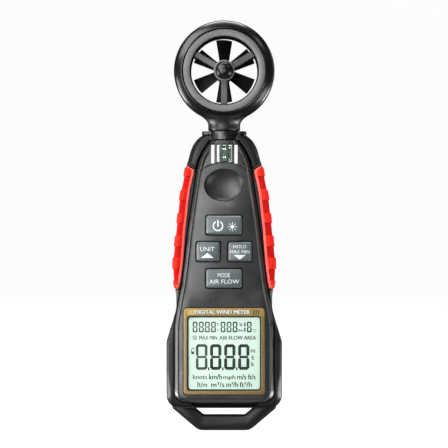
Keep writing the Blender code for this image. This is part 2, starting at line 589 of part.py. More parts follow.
def build_guard(name, side, slot):
    """A ring with three arms and a hub that holds one of the shaft's bearings."""
    def y(distance):
        return side * distance

    ring = [(GUARD_INNER, y(GUARD_BACK)), (GUARD_OUTER, y(GUARD_BACK)), (GUARD_OUTER, y(GUARD_FRONT)),
            (GUARD_INNER, y(GUARD_FRONT))]
    guard = turned(f"{name}_guard", ring, 48, slot, CENTRE, pivot=CENTRE)
    for i, degrees in enumerate(ARM_ANGLES, 1):
        a = math.radians(degrees)
        along, across = Vector((math.cos(a), 0, math.sin(a))), Vector((-math.sin(a), 0, math.cos(a)))
        corners = [(3.5, -1), (16.8, -1), (16.8, 1), (3.5, 1)]
        rings = [[tuple(Vector(CENTRE) + along * r + across * (s * ARM_WIDTH / 2) + Vector((0, y(d), 0)))
                  for r, s in corners] for d in (GUARD_BACK, ARM_FRONT)]
        join(guard, skin(f"tool_{name}_arm_{i}", rings))
    join(guard, rod(f"tool_{name}_hub", HUB_RADIUS, (0, y(GUARD_BACK), HEAD_Z), (0, y(8.0), HEAD_Z), 24))
    cut(guard, rod(f"tool_{name}_seat", 2.3, (0, y(4), HEAD_Z), (0, y(9), HEAD_Z), 16))

    turned(f"{name}_bearing", [(0.8, y(5.5)), (2.0, y(5.5)), (2.0, y(7.4)), (0.8, y(7.4))], 16,
           "bearing_brass", CENTRE, pivot=CENTRE)
    cap = [(0, y(8.3)), (CAP_RADIUS, y(8.3)), (3.75, y(9.2)), (3.1, y(10.1)), (2.1, y(10.8)),
           (1.0, y(11.1)), (0, y(11.2))]
    turned(f"{name}_hub_cap", cap, 24, "gloss_black", CENTRE, pivot=CENTRE)


def build_impeller():
    hub = [(0, -4.4), (3.6, -4.4), (4.2, -3.6), (4.2, 3.6), (3.6, 4.4), (0, 4.4)]
    wheel = turned("impeller", hub, 24, "blade_black", CENTRE, pivot=CENTRE)
    for i in range(BLADES):
        turn = Matrix.Rotation(math.tau * i / BLADES, 4, "Y")
        rings = []
        for radius, half_width, half_depth in (BLADE_ROOT, BLADE_TIP):
            chord = Vector((half_width, half_depth)).normalized()
            side = Vector((-chord.y, chord.x)) * (BLADE_THICKNESS / 2)
            end = Vector((half_width, half_depth))
            corners = [end + side, -end + side, -end - side, end - side]
            rings.append([tuple(Vector(CENTRE) + turn @ Vector((p.x, p.y, radius))) for p in corners])
        join(wheel, skin(f"tool_blade_{i + 1}", rings))
    cut(wheel, rod("tool_shaft_bore", 0.9, (0, -6, HEAD_Z), (0, 6, HEAD_Z), 12))
    rod("impeller_shaft", 0.6, (0, -7.2, HEAD_Z), (0, 7.2, HEAD_Z), 12, "steel", pivot=CENTRE)


def build():
    clear_scene()
    build_rear_shell()
    build_front_shell()
    build_grips()
    build_display()
    build_keys()
    build_electronics()
    build_batteries()
    build_battery_door()
    build_collar()
    build_head()
    build_guard("front", -1, "guard_grey")
    build_guard("rear", 1, "guard_grey")
    build_impeller()


build()
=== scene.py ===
"""Finished look of the handheld weather meter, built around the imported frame.

Sizes are in millimetres in the frame's own axes: +Z up the meter, -Y out of the display, the
origin under the foot. place() turns each finished mesh into metres.
"""

import json
import math

import bmesh
import bpy
import numpy as np
from mathutils import Matrix, Vector

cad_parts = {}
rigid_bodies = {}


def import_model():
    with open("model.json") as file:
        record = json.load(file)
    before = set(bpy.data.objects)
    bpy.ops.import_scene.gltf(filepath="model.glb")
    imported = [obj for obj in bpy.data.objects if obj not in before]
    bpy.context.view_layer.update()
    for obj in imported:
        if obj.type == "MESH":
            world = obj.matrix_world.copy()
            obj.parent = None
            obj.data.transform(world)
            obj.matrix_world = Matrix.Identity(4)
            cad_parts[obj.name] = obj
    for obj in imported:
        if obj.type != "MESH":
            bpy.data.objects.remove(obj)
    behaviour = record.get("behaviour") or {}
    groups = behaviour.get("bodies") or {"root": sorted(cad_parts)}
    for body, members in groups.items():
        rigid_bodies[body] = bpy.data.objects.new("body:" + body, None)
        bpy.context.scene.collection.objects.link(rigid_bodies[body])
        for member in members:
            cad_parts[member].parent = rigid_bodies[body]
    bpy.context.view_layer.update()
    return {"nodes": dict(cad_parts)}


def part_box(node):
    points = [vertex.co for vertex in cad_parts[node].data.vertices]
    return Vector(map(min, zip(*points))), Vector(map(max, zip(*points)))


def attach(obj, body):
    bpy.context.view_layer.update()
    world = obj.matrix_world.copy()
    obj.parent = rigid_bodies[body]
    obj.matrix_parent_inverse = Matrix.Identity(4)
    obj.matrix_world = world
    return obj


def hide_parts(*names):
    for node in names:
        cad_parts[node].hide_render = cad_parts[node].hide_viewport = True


for leftover in list(bpy.data.objects):
    bpy.data.objects.remove(leftover, do_unlink=True)

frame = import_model()

MM = 0.001


def node_box(node):
    """A CAD node's lowest and highest corner in millimetres."""
    low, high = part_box(node)
    return low / MM, high / MM


def size_of(node):
    low, high = node_box(node)
    return high - low


def middle_of(node):
    """The x and z of a CAD node's middle."""
    low, high = node_box(node)
    return (low.x + high.x) / 2, (low.z + high.z) / 2


def numbered(stem):
    """The CAD nodes whose names start alike, in order."""
    return sorted(name for name in frame["nodes"] if name.startswith(stem))


# ---- sizes taken from the frame ------------------------------------------------------------------
FRONT = -node_box("front_shell")[0].y
BACK = node_box("rear_shell")[1].y
HEAD_Z = (node_box("impeller_shaft")[0].z + node_box("impeller_shaft")[1].z) / 2
HEAD_RADIUS = size_of("head_housing").x / 2
HEAD_HALF_DEPTH = size_of("head_housing").y / 2
CENTRE = Vector((0.0, 0.0, HEAD_Z))

# ---- outlines of the housing: (z, half-width) and (z, depth) -------------------------------------
SHELL_WIDTH = [(10.6, 22.9), (11.4, 23.8), (12.8, 24.8), (14.9, 25.5), (38.5, 25.5), (43.5, 24.3),
               (49.5, 22.45), (55.5, 21.1), (59.0, 21.1), (62.5, 21.6), (67.0, 22.2), (73.0, 22.45),
               (84.0, 21.5), (93.0, 20.55), (101.7, 19.6), (110.6, 17.95), (117.3, 16.7),
               (119.2, 16.1), (124.8, 14.5), (128.4, 12.5), (130.6, 10.0)]
PANEL_WIDTH = [(17.9, 21.9), (45.0, 21.9), (51.0, 21.2), (58.5, 19.9), (67.5, 18.4), (78.9, 17.0),
               (93.3, 15.3), (104.0, 13.7), (114.0, 12.2), (115.6, 11.9), (119.0, 11.0),
               (122.3, 9.6), (125.6, 7.7), (128.2, 5.8)]
PANEL_DEPTH = [(12.7, 13.2), (14.7, FRONT), (98.0, FRONT), (106.0, 13.9), (114.0, 12.5),
               (121.0, 10.5), (128.4, 7.9)]
RIM_DEPTH = [(10.6, 9.4), (12.8, 11.1), (14.9, 12.2), (18.0, 13.0), (22.0, 13.3), (98.0, 13.3),
             (106.0, 12.8), (114.0, 11.5), (121.0, 9.3), (128.4, 6.5), (130.6, 5.8)]
RIM_SOFTNESS = [(10.6, 2.1), (17.0, 2.0), (26.0, 1.0), (112.0, 1.0), (121.0, 2.0), (130.6, 2.0)]
BACK_DEPTH = [(10.6, 13.4), (12.0, 14.6), (13.2, 15.0), (80.0, 15.0), (100.0, 14.2), (115.0, 12.0),
              (124.0, 9.6), (130.6, 8.2)]
PANEL_CORNER = 5.2
TRAY_BACK, TRAY_WALL, PLATE = -4.0, 1.6, 2.4
CHAMFER_WIDTH, CHAMFER_DEPTH = 1.55, 1.25
RIDGE_FOOT, FACE_EDGE = 0.32, 0.48  # from the ridge's inner edge to its foot and to the face
PANEL_GAP, VENT_PANEL_GAP = 0.4, 1.1
LOOP_HALF_DEPTH = 7.0
LOOP_OUTLINE = [(9.2, 0.0), (10.8, 0.12), (12.2, 0.8), (13.5, 1.75), (22.9, 9.7), (23.4, 12.4)]
SLOT_TOP, SLOT_LOW = (13.2, 9.9), (9.3, 6.2)
DIMPLE_Z, DIMPLE_X_RADIUS, DIMPLE_Z_RADIUS, DIMPLE_DEPTH = 108.8, 9.0, 7.7, 4.3
CREST_Z, CREST_RADIUS = 102.5, 16.1
FACE_STEP = [(15.0, 0.3), (56.0, 0.3), (64.0, 0.05), (98.0, 0.05), (112.0, 0.3), (128.0, 0.3)]
FACE_CROWN = [(15.0, 0.02), (56.0, 0.02), (64.0, 1.2), (98.0, 1.2), (112.0, 0.5), (128.0, 0.3)]
FACE_TILT = [(15.0, 0.34), (56.0, 0.34), (62.0, 0.0), (128.0, 0.0)]
VENT_X, VENT_HALF_WIDTH, VENT_TOP = (-5.1, -2.5, 0.05, 2.6, 5.2), 0.74, 127.0
GROOVE = 0.42  # radius of the lines pressed into the panel
KEYS = ("key_power", "key_unit", "key_hold", "key_mode")
GRIP_LOW, GRIP_TOP, GRIP_WALL, GRIP_BACK = 62.8, 117.0, 2.3, 9.0
GRIP_INNER = [(62.8, 19.8), (67.5, 18.95), (75.4, 18.0), (82.0, 17.45), (88.8, 16.95), (95.5, 16.2),
              (102.0, 15.5), (106.6, 14.85), (111.0, 13.95), (114.4, 13.25), (115.3, 13.3),
              (116.2, 14.7), (117.0, 16.0)]
GRIP_BLOCKS = [(62.8, 66.4), (71.5, 76.6), (81.4, 86.2), (91.8, 96.1), (101.9, 106.5),
               (112.5, 117.0)]
KEY_CORNER, KEY_LIP, BEZEL_CORNER, WINDOW_CORNER = 1.1, 0.8, 1.6, 1.4
DUCT_RADIUS, GUARD_SEAT, GUARD_EDGE = 14.75, 5.0, 18.6
ARM_ANGLES, BLADES = (-90, 30, 150), 6
MIN_STEP, WELD, SHARP = 0.12, 0.0008, 32
PRINT_DEPTH = 0.03


# ---- mesh helpers --------------------------------------------------------------------------------
def at(table, z):
    """Monotone cubic through a table of (z, value)."""
    zs, values = np.array([row[0] for row in table]), np.array([row[1] for row in table])
    z = min(max(z, zs[0]), zs[-1])
    slope = np.diff(values) / np.diff(zs)
    tangent = np.zeros(len(zs))
    tangent[0], tangent[-1] = slope[0], slope[-1]
    for i in range(1, len(zs) - 1):
        if slope[i - 1] * slope[i] > 0:
            tangent[i] = 2 * slope[i - 1] * slope[i] / (slope[i - 1] + slope[i])
    i = min(int(np.searchsorted(zs, z, side="right")) - 1, len(zs) - 2)
    width = zs[i + 1] - zs[i]
    t = (z - zs[i]) / width
    return float((2 * t**3 - 3 * t**2 + 1) * values[i] + (t**3 - 2 * t**2 + t) * width * tangent[i]
                 + (3 * t**2 - 2 * t**3) * values[i + 1] + (t**3 - t**2) * width * tangent[i + 1])


def steps_between(low, high, pitch, extra=()):
    """Evenly spaced heights with some that must be there."""
    count = max(2, round((high - low) / pitch) + 1)
    marks = set(np.round(np.linspace(low, high, count), 3)) | {round(z, 3) for z in extra}
    kept = []
    for z in sorted(marks):
        if not kept or z - kept[-1] > MIN_STEP:
            kept.append(float(z))
    return kept


def add_object(name, data):
    obj = bpy.data.objects.new(name, data)
    bpy.context.scene.collection.objects.link(obj)
    return obj


def shade(obj, sharp=SHARP):
    """Smooth shading with edges kept sharp above an angle in degrees."""
    obj.data.shade_smooth()
    obj.data.set_sharp_from_angle(angle=math.radians(sharp))
    return obj


def place(name, bm, look, smooth=True):
    """Link a mesh drawn in millimetres as an object in metres."""
    bmesh.ops.remove_doubles(bm, verts=bm.verts, dist=WELD)
    bmesh.ops.recalc_face_normals(bm, faces=bm.faces)
    bmesh.ops.scale(bm, verts=bm.verts, vec=(MM, MM, MM))
    mesh = bpy.data.meshes.new(name)
    bm.to_mesh(mesh)
    bm.free()
    obj = add_object(name, mesh)
    if look:
        mesh.materials.append(look)
    return shade(obj) if smooth else obj


def skin(name, rings, look=None):
    """A surface through closed rings of points, with the end rings filled."""
    bm = bmesh.new()
    loops = [[bm.verts.new(point) for point in ring] for ring in rings]
    for low, high in zip(loops, loops[1:]):
        for i in range(len(low)):
            j = (i + 1) % len(low)
            bm.faces.new((low[i], low[j], high[j], high[i]))
    bm.faces.new(loops[0][::-1])
    bm.faces.new(loops[-1])
    return place(name, bm, look)


def block(name, low, high, look=None):
    (x0, y0, z0), (x1, y1, z1) = low, high
    rings = [[(x0, y0, z), (x1, y0, z), (x1, y1, z), (x0, y1, z)] for z in (z0, z1)]
    return skin(name, rings, look)


def rod(name, radius, low, high, steps=32):
    low, high = Vector(low), Vector(high)
    turn = (high - low).to_track_quat("Z", "Y")
    rings = [[tuple(end + turn @ Vector((radius * math.cos(a), radius * math.sin(a), 0)))
              for a in full_turn(steps)] for end in (low, high)]
    return skin(name, rings)


def prism(name, outline, depths, look=None):
    """An outline in XZ drawn along Y; depths holds (y, how far the outline is pulled in)."""
    rings = [[(x, y, z) for x, z in pull_in(outline, inset)] for y, inset in depths]
    return skin(name, rings, look)


def turned(name, profile, steps, look=None, centre=(0.0, 0.0, 0.0), axis="Y"):
    """Spin a closed profile of (radius, height) about an axis through the centre."""
    bm = bmesh.new()
    along = Vector((0, 1, 0)) if axis == "Y" else Vector((0, 0, 1))
    verts = [bm.verts.new(Vector(centre) + Vector((radius, 0, 0)) + along * height)
             for radius, height in profile]
    count = len(profile)
    edges = [bm.edges.new((verts[i], verts[(i + 1) % count])) for i in range(count)
             if profile[i][0] > 0 or profile[(i + 1) % count][0] > 0]
    bmesh.ops.spin(bm, geom=verts + edges, cent=centre, axis=along, angle=math.tau, steps=steps,
                   use_merge=True)
    return place(name, bm, look)


def pull_in(outline, inset):
    """The outline moved inwards by the inset, or outwards when it is negative."""
    points = [Vector(p) for p in outline]
    area = sum(a.x * b.y - b.x * a.y for a, b in zip(points, points[1:] + points[:1]))
    side = 1.0 if area > 0 else -1.0
    moved = []
    for before, here, after in zip(points[-1:] + points[:-1], points, points[1:] + points[:1]):
        first, second = (here - before).normalized(), (after - here).normalized()
        normal = Vector((-first.y - second.y, first.x + second.x)).normalized()
        stretch = max(normal.dot(Vector((-first.y, first.x))), 0.4)
        moved.append(tuple(here + normal * (side * inset / stretch)))
    return moved


def mirrored(right_side):
    """An outline from its right half; points on the middle line aren't doubled."""
    return right_side + [(-x, z) for x, z in reversed(right_side) if x > 0]


def level_ring(right_side, z):
    """A closed ring at one height from the (x, y) points of its right half."""
    return [(x, y, z) for x, y in right_side + [(-x, y) for x, y in right_side[::-1]]]


def full_turn(steps):
    return np.linspace(0, math.tau, steps, endpoint=False)


def rounded(half_width, low, top, radius, steps=6, middle=0.0):
    """A rectangle in XZ with round corners."""
    outline = []
    for x, z, start in ((half_width, low, -90), (half_width, top, 0), (-half_width, top, 90),
                        (-half_width, low, 180)):
        cx = x - math.copysign(radius, x)
        cz = z + radius if z == low else z - radius
        for i in range(steps + 1):
            angle = math.radians(start + 90 * i / steps)
            outline.append((middle + cx + radius * math.cos(angle), cz + radius * math.sin(angle)))
    return outline


def arc(radius, start, end, steps, centre):
    return [(centre[0] + radius * math.cos(math.radians(a)),
             centre[1] + radius * math.sin(math.radians(a)))
            for a in np.linspace(start, end, steps + 1)]


def tube(name, points, radius):
    """An eight-sided tube along a line of points."""
    path = [Vector(p) for p in points]
    rings = []
    for i, here in enumerate(path):
        ahead = (path[min(i + 1, len(path) - 1)] - path[max(i - 1, 0)]).normalized()
        across = ahead.cross(Vector((0, 1, 0)))
        across = across.normalized() if across.length > 1e-4 else Vector((1, 0, 0))
        up = across.cross(ahead).normalized()
        rings.append([tuple(here + across * (radius * math.cos(a)) + up * (radius * math.sin(a)))
                      for a in full_turn(8)])
    return skin(name, rings)


def ball(name, centre, radii):
    bm = bmesh.new()
    bmesh.ops.create_uvsphere(bm, u_segments=64, v_segments=32, radius=1.0)
    bmesh.ops.transform(bm, verts=bm.verts, matrix=Matrix.Rotation(math.radians(90), 4, "X"))
    bmesh.ops.scale(bm, verts=bm.verts, vec=radii)
    bmesh.ops.translate(bm, verts=bm.verts, vec=centre)
    return place(name, bm, None)


def ready_mesh(obj):
    """The object's mesh as it looks after its modifiers or as drawn text."""
    return bpy.data.meshes.new_from_object(obj.evaluated_get(bpy.context.evaluated_depsgraph_get()))


def combine(target, tools, operation):
    """Cut, join or intersect the target with each tool, then remove the tools."""
    for tool in tools:
        step = target.modifiers.new(tool.name, "BOOLEAN")
        step.operation, step.solver, step.object = operation, "EXACT", tool
    ready = ready_mesh(target)
    target.modifiers.clear()
    target.data = ready
    for tool in tools:
        bpy.data.objects.remove(tool, do_unlink=True)
    return target


def cut(target, *tools):
    return combine(target, tools, "DIFFERENCE")


def join(target, *tools):
    return combine(target, tools, "UNION")


def gather(name, parts, look=None):
    """Several meshes as one piece."""
    bm = bmesh.new()
    looks = []
    for part in parts:
        shift = len(looks)
        looks += list(part.data.materials) or [None]
        before = len(bm.faces)
        bm.from_mesh(part.data)
        bm.faces.ensure_lookup_table()
        for face in bm.faces[before:]:
            face.material_index += shift
        bpy.data.objects.remove(part, do_unlink=True)
    mesh = bpy.data.meshes.new(name)
    bm.to_mesh(mesh)
    bm.free()
    for entry in ([look] * len(looks) if look else looks):
        mesh.materials.append(entry)
    return add_object(name, mesh)


def repaint(obj, looks, choose):
    """Add looks, then give each face the one that choose picks from its middle; 0 leaves it."""
    for look in looks:
        obj.data.materials.append(LOOKS[look])
    for face in obj.data.polygons:
        index = choose(face.center / MM)
        if index:
            face.material_index = index
    return obj


def settle(obj, body, slot, *nodes):
    """The piece rides on its body and may stand for CAD nodes, which it hides; slot is not used."""
    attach(obj, body)
    if nodes:
        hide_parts(*nodes)
    return obj


# ---- materials -----------------------------------------------------------------------------------
class Look:
    """A Principled material with a few helpers for its procedural detail."""

    def __init__(self, name, colour, roughness, metallic=0.0, **sockets):
        self.material = bpy.data.materials.new(name)
        self.material.use_nodes = True
        self.nodes = self.material.node_tree.nodes
        self.links = self.material.node_tree.links
        self.shader = self.nodes["Principled BSDF"]
        self.shader.inputs["Base Color"].default_value = (*colour, 1.0)
        self.shader.inputs["Roughness"].default_value = roughness
        self.shader.inputs["Metallic"].default_value = metallic
        for socket, value in sockets.items():
            self.shader.inputs[socket.replace("_", " ")].default_value = value
        self.colour, self.roughness = colour, roughness
        self.space = self.node("ShaderNodeTexCoord").outputs["Object"]

    def node(self, kind, **values):
        made = self.nodes.new(kind)
        for key, value in values.items():
            if hasattr(made, key):
                setattr(made, key, value)
            else:
                made.inputs[key.replace("_", " ")].default_value = value
        return made

    def link(self, source, target):
        self.links.new(source, target)

    def paint(self, tone):
        self.link(tone, self.shader.inputs["Base Color"])

    def place_along(self, axis):
        """Where a point lies along one axis, in metres."""
        split = self.node("ShaderNodeSeparateXYZ")
        self.link(self.space, split.inputs[0])
        return split.outputs[axis]

    def maths(self, operation, *values):
        made = self.node("ShaderNodeMath", operation=operation)
        for value, socket in zip(values, made.inputs):
            if isinstance(value, float):
                socket.default_value = value
            else:
                self.link(value, socket)
        return made.outputs[0]

    def noise(self, size, detail=3.0, roughness=0.55, stretch=None):
        """Noise whose features are about this many millimetres wide."""
        made = self.node("ShaderNodeTexNoise", Scale=1.0 / (size * MM), Detail=detail,
                         Roughness=roughness)
        space = self.remapped(Scale=stretch) if stretch else self.space
        self.link(space, made.inputs["Vector"])
        return made.outputs["Fac"]

    def remapped(self, **values):
        mapping = self.node("ShaderNodeMapping", **values)
        self.link(self.space, mapping.inputs["Vector"])
        return mapping.outputs["Vector"]

    def ramp(self, value, low, high, out_low=0.0, out_high=1.0):
        """Map a value from low..high to out_low..out_high."""
        made = self.node("ShaderNodeMapRange", From_Min=low, From_Max=high, To_Min=out_low,
                         To_Max=out_high)
        self.link(value, made.inputs["Value"])
        return made.outputs["Result"]

    def mix(self, factor, first, second):
        """Blend two colours or colour outputs by a factor."""
        made = self.node("ShaderNodeMix", data_type="RGBA")
        self.link(factor, made.inputs[0])
        for value, socket in ((first, made.inputs[6]), (second, made.inputs[7])):
            if isinstance(value, tuple):
                socket.default_value = (*value, 1.0)
            else:
                self.link(value, socket)
        return made.outputs[2]

    def vary_colour(self, size, darker, lighter):
        """Slow drifts of tone across the surface."""
        dark = tuple(c * darker for c in self.colour)
        light = tuple(min(1.0, c * lighter) for c in self.colour)
        tone = self.mix(self.ramp(self.noise(size, 4.0), 0.3, 0.7), dark, light)
        self.paint(tone)
        return tone

    def worn_edges(self, tone, colour, amount):
        """Slightly paler moulded edges where hands rub them."""
        edge = self.node("ShaderNodeNewGeometry").outputs["Pointiness"]
        rubbed = self.maths("MULTIPLY", self.ramp(edge, 0.52, 0.62, 0.0, amount),
                            self.ramp(self.noise(2.5), 0.35, 0.6))
        self.paint(self.mix(rubbed, tone, colour))

    def vary_roughness(self, size, spread):
        value = self.ramp(self.noise(size, 5.0), 0.3, 0.7, self.roughness - spread,
                          self.roughness + spread)
        self.link(value, self.shader.inputs["Roughness"])

    def relief(self, *layers, edge=0.0):
        """Bumps stacked on each other; each layer is (height output, strength, depth in mm)."""
        normal = None
        if edge:
            soft = self.node("ShaderNodeBevel", samples=3, Radius=edge * MM)
            normal = soft.outputs["Normal"]
        for height, strength, depth in layers:
            bump = self.node("ShaderNodeBump", Strength=strength, Distance=depth * MM)
            self.link(height, bump.inputs["Height"])
            if normal:
                self.link(normal, bump.inputs["Normal"])
            normal = bump.outputs["Normal"]
        self.link(normal, self.shader.inputs["Normal"])


def moulded(name, colour, roughness, grain=0.22, depth=0.018, worn=0.35, **sockets):
    """Injection-moulded plastic: spark-eroded grain, faint flow tones and softened edges."""
    look = Look(name, colour, roughness, **sockets)
    tone = look.vary_colour(14.0, 0.86, 1.16)
    if worn:
        look.worn_edges(tone, tuple(min(1.0, c * 2.2 + 0.03) for c in colour), worn)
    look.vary_roughness(6.0, 0.06)
    look.relief((look.noise(grain, 2.0), 0.55, depth), (look.noise(3.5, 3.0), 0.15, 0.05), edge=0.3)
    return look.material


def polished(name, colour, roughness=0.23):
    """Satin-gloss black plastic with faint hairline scratches and a little dust in its gloss."""
    look = Look(name, colour, roughness, Specular_IOR_Level=0.34)
    look.vary_colour(9.0, 0.8, 1.3)
    look.vary_roughness(6.0, 0.03)
    scratch = look.noise(0.5, 2.0, 0.6, (1.0, 1.0, 0.06))
    look.relief((scratch, 0.03, 0.01), (look.noise(9.0, 2.0), 0.05, 0.05))
    return look.material


def soft_rubber(name, colour, roughness, deep):
    """Soft-touch rubber: matt, slightly mottled, with a very fine pebble."""
    look = Look(name, colour, roughness, Specular_IOR_Level=0.08, Subsurface_Weight=0.05,
                Subsurface_Scale=0.001)
    look.paint(look.mix(look.ramp(look.noise(7.0, 4.0), 0.3, 0.72), deep, colour))
    look.vary_roughness(4.0, 0.08)
    look.relief((look.noise(0.3, 3.0), 0.4, 0.02), (look.noise(1.6, 2.0), 0.12, 0.04), edge=0.35)
    return look.material


def metal(name, colour, roughness):
    """Plated or turned metal with a fine grain."""
    look = Look(name, colour, roughness, 1.0)
    look.vary_colour(2.5, 0.8, 1.1)
    look.vary_roughness(1.2, 0.1)
    look.relief((look.noise(0.25, 3.0, 0.6), 0.3, 0.01), edge=0.15)
    return look.material


def painted_gold():
    """Satin gold print with a metallic fleck and a sweep from deep to pale gold."""
    look = Look("gold_paint", (0.25, 0.15, 0.03), 0.42, 0.25)
    across, strip = look.place_along("X"), look.ramp(look.place_along("Z"), 0.0500, 0.0512)
    sides = look.mix(look.ramp(across, -0.018, 0.018), (0.112, 0.080, 0.024), (0.078, 0.055, 0.012))
    tone = look.mix(strip, sides, (0.155, 0.098, 0.007))
    look.paint(look.mix(look.ramp(look.noise(0.25, 2.0), 0.45, 0.95), tone, (0.34, 0.25, 0.10)))
    look.vary_roughness(1.5, 0.08)
    look.relief((look.noise(0.2, 2.0), 0.25, 0.01), edge=0.15)
    return look.material


def display_green():
    """Reflector behind the crystal, glowing faintly: pale green with painted sheen, paler upper
    left, mintier lower right.
    """
    look = Look("display_green", (0.30, 0.42, 0.34), 0.45, Emission_Strength=0.05)
    # Painted sheen: the green deepens towards the right and the bottom; the noise adds random
    # mottle.
    right = look.ramp(look.place_along("X"), -0.016, 0.016, 0.0, 0.6)
    low = look.ramp(look.place_along("Z"), 0.052, 0.018, 0.0, 0.4)
    sheen_and_mottle = look.maths("MULTIPLY_ADD", look.noise(9.0, 2.0), 0.3, look.maths("ADD", right, low))
    tone = look.mix(look.ramp(sheen_and_mottle, 0.25, 1.25), (0.50, 0.62, 0.55), (0.37, 0.51, 0.42))
    look.paint(tone)
    look.link(tone, look.shader.inputs["Emission Color"])
    look.relief((look.noise(0.12, 1.0), 0.08, 0.005))
    return look.material


def circuit_green():
    """Solder mask over copper: a faint grid of tracks in a glossy green board."""
    look = Look("circuit_green", (0.012, 0.20, 0.075), 0.32, Coat_Weight=0.4)
    tracks = look.node("ShaderNodeTexBrick", Scale=420.0, Mortar_Size=0.035, Color1=(1, 1, 1, 1),
                       Color2=(0.8, 0.8, 0.8, 1), Mortar=(0, 0, 0, 1))
    look.link(look.remapped(Rotation=(math.radians(90), 0, 0)), tracks.inputs["Vector"])
    look.paint(look.mix(tracks.outputs["Fac"], (0.02, 0.50, 0.18), (0.12, 0.75, 0.36)))
    look.vary_roughness(1.0, 0.08)
    look.relief((tracks.outputs["Fac"], 0.3, 0.03), (look.noise(0.3), 0.1, 0.01))
    return look.material


def inked(name, colour, roughness):
    """Pad-printed ink, a touch uneven."""
    look = Look(name, colour, roughness)
    look.vary_colour(1.2, 0.92, 1.05)
    look.relief((look.noise(0.15, 2.0), 0.3, 0.01))
    return look.material


def clear_window():
    """The display's nearly clear plastic window."""
    look = Look("clear_window", (0.02, 0.03, 0.025), 0.12, Alpha=0.05, Specular_IOR_Level=0.3)
    look.vary_roughness(5.0, 0.02)
    return look.material


def cell_wrap():
    """Shrink-wrapped battery jacket with a metallic band at the positive end."""
    look = Look("cell_wrap", (0.03, 0.07, 0.20), 0.30, 0.2, Coat_Weight=0.5)
    band = look.ramp(look.place_along("Z"), 0.0520, 0.0524)
    look.paint(look.mix(band, (0.03, 0.06, 0.17), (0.55, 0.38, 0.10)))
    look.vary_roughness(2.0, 0.06)
    look.relief((look.noise(1.2), 0.12, 0.02), edge=0.2)
    return look.material


LOOKS = {
    "housing": moulded("housing_black", (0.005, 0.005, 0.0058), 0.40, worn=0.2,
                       Specular_IOR_Level=0.21),
    "panel": moulded("panel_grey", (0.012, 0.0125, 0.013), 0.33, grain=0.2, worn=0.3),
    # A darker, rougher copy of the panel grey for the thumb rest: the matt finish is real, the
    # darker tone is painted shade in the hollow.
    "thumb": moulded("thumb_rest_grey", (0.006, 0.006, 0.0065), 0.46, grain=0.2, worn=0.0),
    "door": moulded("door_black", (0.020, 0.020, 0.022), 0.46, grain=0.3, depth=0.03),
    "gloss": polished("gloss_black", (0.0025, 0.0025, 0.003)),
    "dome": polished("dome_black", (0.002, 0.002, 0.0025), 0.29),
    "neck": polished("neck_black", (0.003, 0.003, 0.0035), 0.40),
    # Matt black for the head's duct, also laid on the housing's recess under the display as painted
    # shade.
    "duct": moulded("matt_black_duct_and_painted_shade", (0.003, 0.003, 0.0035), 0.6, grain=0.3, worn=0.0,
                    Specular_IOR_Level=0.12),
    "collar": moulded("collar_black", (0.003, 0.003, 0.0035), 0.28, worn=0.0),
    "guard": moulded("guard_grey", (0.080, 0.080, 0.082), 0.45, grain=0.18, depth=0.008, worn=0.2),
    # A darker copy of the guard grey for the recessed arms: painted shade.
    "guard_arm": moulded("guard_arm_painted_shade_grey", (0.030, 0.030, 0.031), 0.45, grain=0.18, depth=0.008,
                         worn=0.2),
    "blade": moulded("blade_black", (0.003, 0.003, 0.0035), 0.5, grain=0.25, depth=0.006, worn=0.0,
                     Specular_IOR_Level=0.2),
    "grip": soft_rubber("grip_red", (0.48, 0.010, 0.004), 0.6, (0.44, 0.008, 0.003)),
    # Lighter and darker copies of the grip red: a painted highlight for the inner strip, painted
    # shade between the blocks.
    "grip_strip": soft_rubber("grip_light_red", (0.55, 0.095, 0.078), 0.55, (0.50, 0.080, 0.064)),
    "grip_deep": soft_rubber("grip_deep_red", (0.34, 0.002, 0.001), 0.7, (0.31, 0.001, 0.001)),
    "key": moulded("key_grey", (0.047, 0.058, 0.061), 0.32, grain=0.16, depth=0.012, worn=0.3),
    "gold": painted_gold(),
    "pale_gold": inked("pale_gold_ink", (0.40, 0.30, 0.12), 0.4),
    "green": display_green(),
    "segment": inked("segment_black", (0.004, 0.006, 0.005), 0.4),
    # A paler copy of the segment ink for items on the display's left and top: painted sheen.
    "faint": inked("segment_painted_sheen_grey", (0.030, 0.040, 0.034), 0.45),
    "white_ink": inked("white_ink", (0.46, 0.48, 0.49), 0.45),
    "black_ink": inked("black_ink", (0.006, 0.006, 0.007), 0.45),
    "window": clear_window(),
    "white": moulded("white_moulding", (0.72, 0.73, 0.71), 0.45, worn=0.0),
    "zebra": soft_rubber("zebra_rubber", (0.10, 0.09, 0.11), 0.7, (0.05, 0.05, 0.06)),
    "board": circuit_green(),
    "chip": moulded("chip_black", (0.014, 0.014, 0.016), 0.5, grain=0.12, depth=0.01, worn=0.0),
    "steel": metal("plated_steel", (0.52, 0.52, 0.53), 0.30),
    "brass": metal("turned_brass", (0.62, 0.44, 0.17), 0.28),
    "cable": soft_rubber("cable_black", (0.012, 0.012, 0.012), 0.55, (0.008, 0.008, 0.008)),
    "cell": cell_wrap(),
}


# ---- housing -------------------------------------------------------------------------------------
def table_heights(*tables):
    return [row[0] for table in tables for row in table]


def panel_outline(grow=0.0, vent_grow=0.0):
    """The front panel's outline; beside the vents it can grow by a different amount."""
    low = PANEL_WIDTH[0][0]
    x0 = PANEL_WIDTH[0][1] - PANEL_CORNER
    half = arc(PANEL_CORNER + grow, -90, 0, 8, (x0, low))
    for z in steps_between(low, PANEL_WIDTH[-1][0], 1.0, table_heights(PANEL_WIDTH))[1:]:
        share = min(max((z - 113.5) / 3.0, 0.0), 1.0)
        half.append((at(PANEL_WIDTH, z) + grow + (vent_grow - grow) * share, z))
    half[-1] = (half[-1][0], half[-1][1] + grow)
    return mirrored(half)


def inner_outline(margin, low, top):
    """The hollow inside the front panel, a margin in from its edge."""
    rows = steps_between(low + 2.6, top, 3.0)
    return mirrored([(at(PANEL_WIDTH, low) - margin - 1.4, low)]
                    + [(at(PANEL_WIDTH, z) - margin, z) for z in rows])


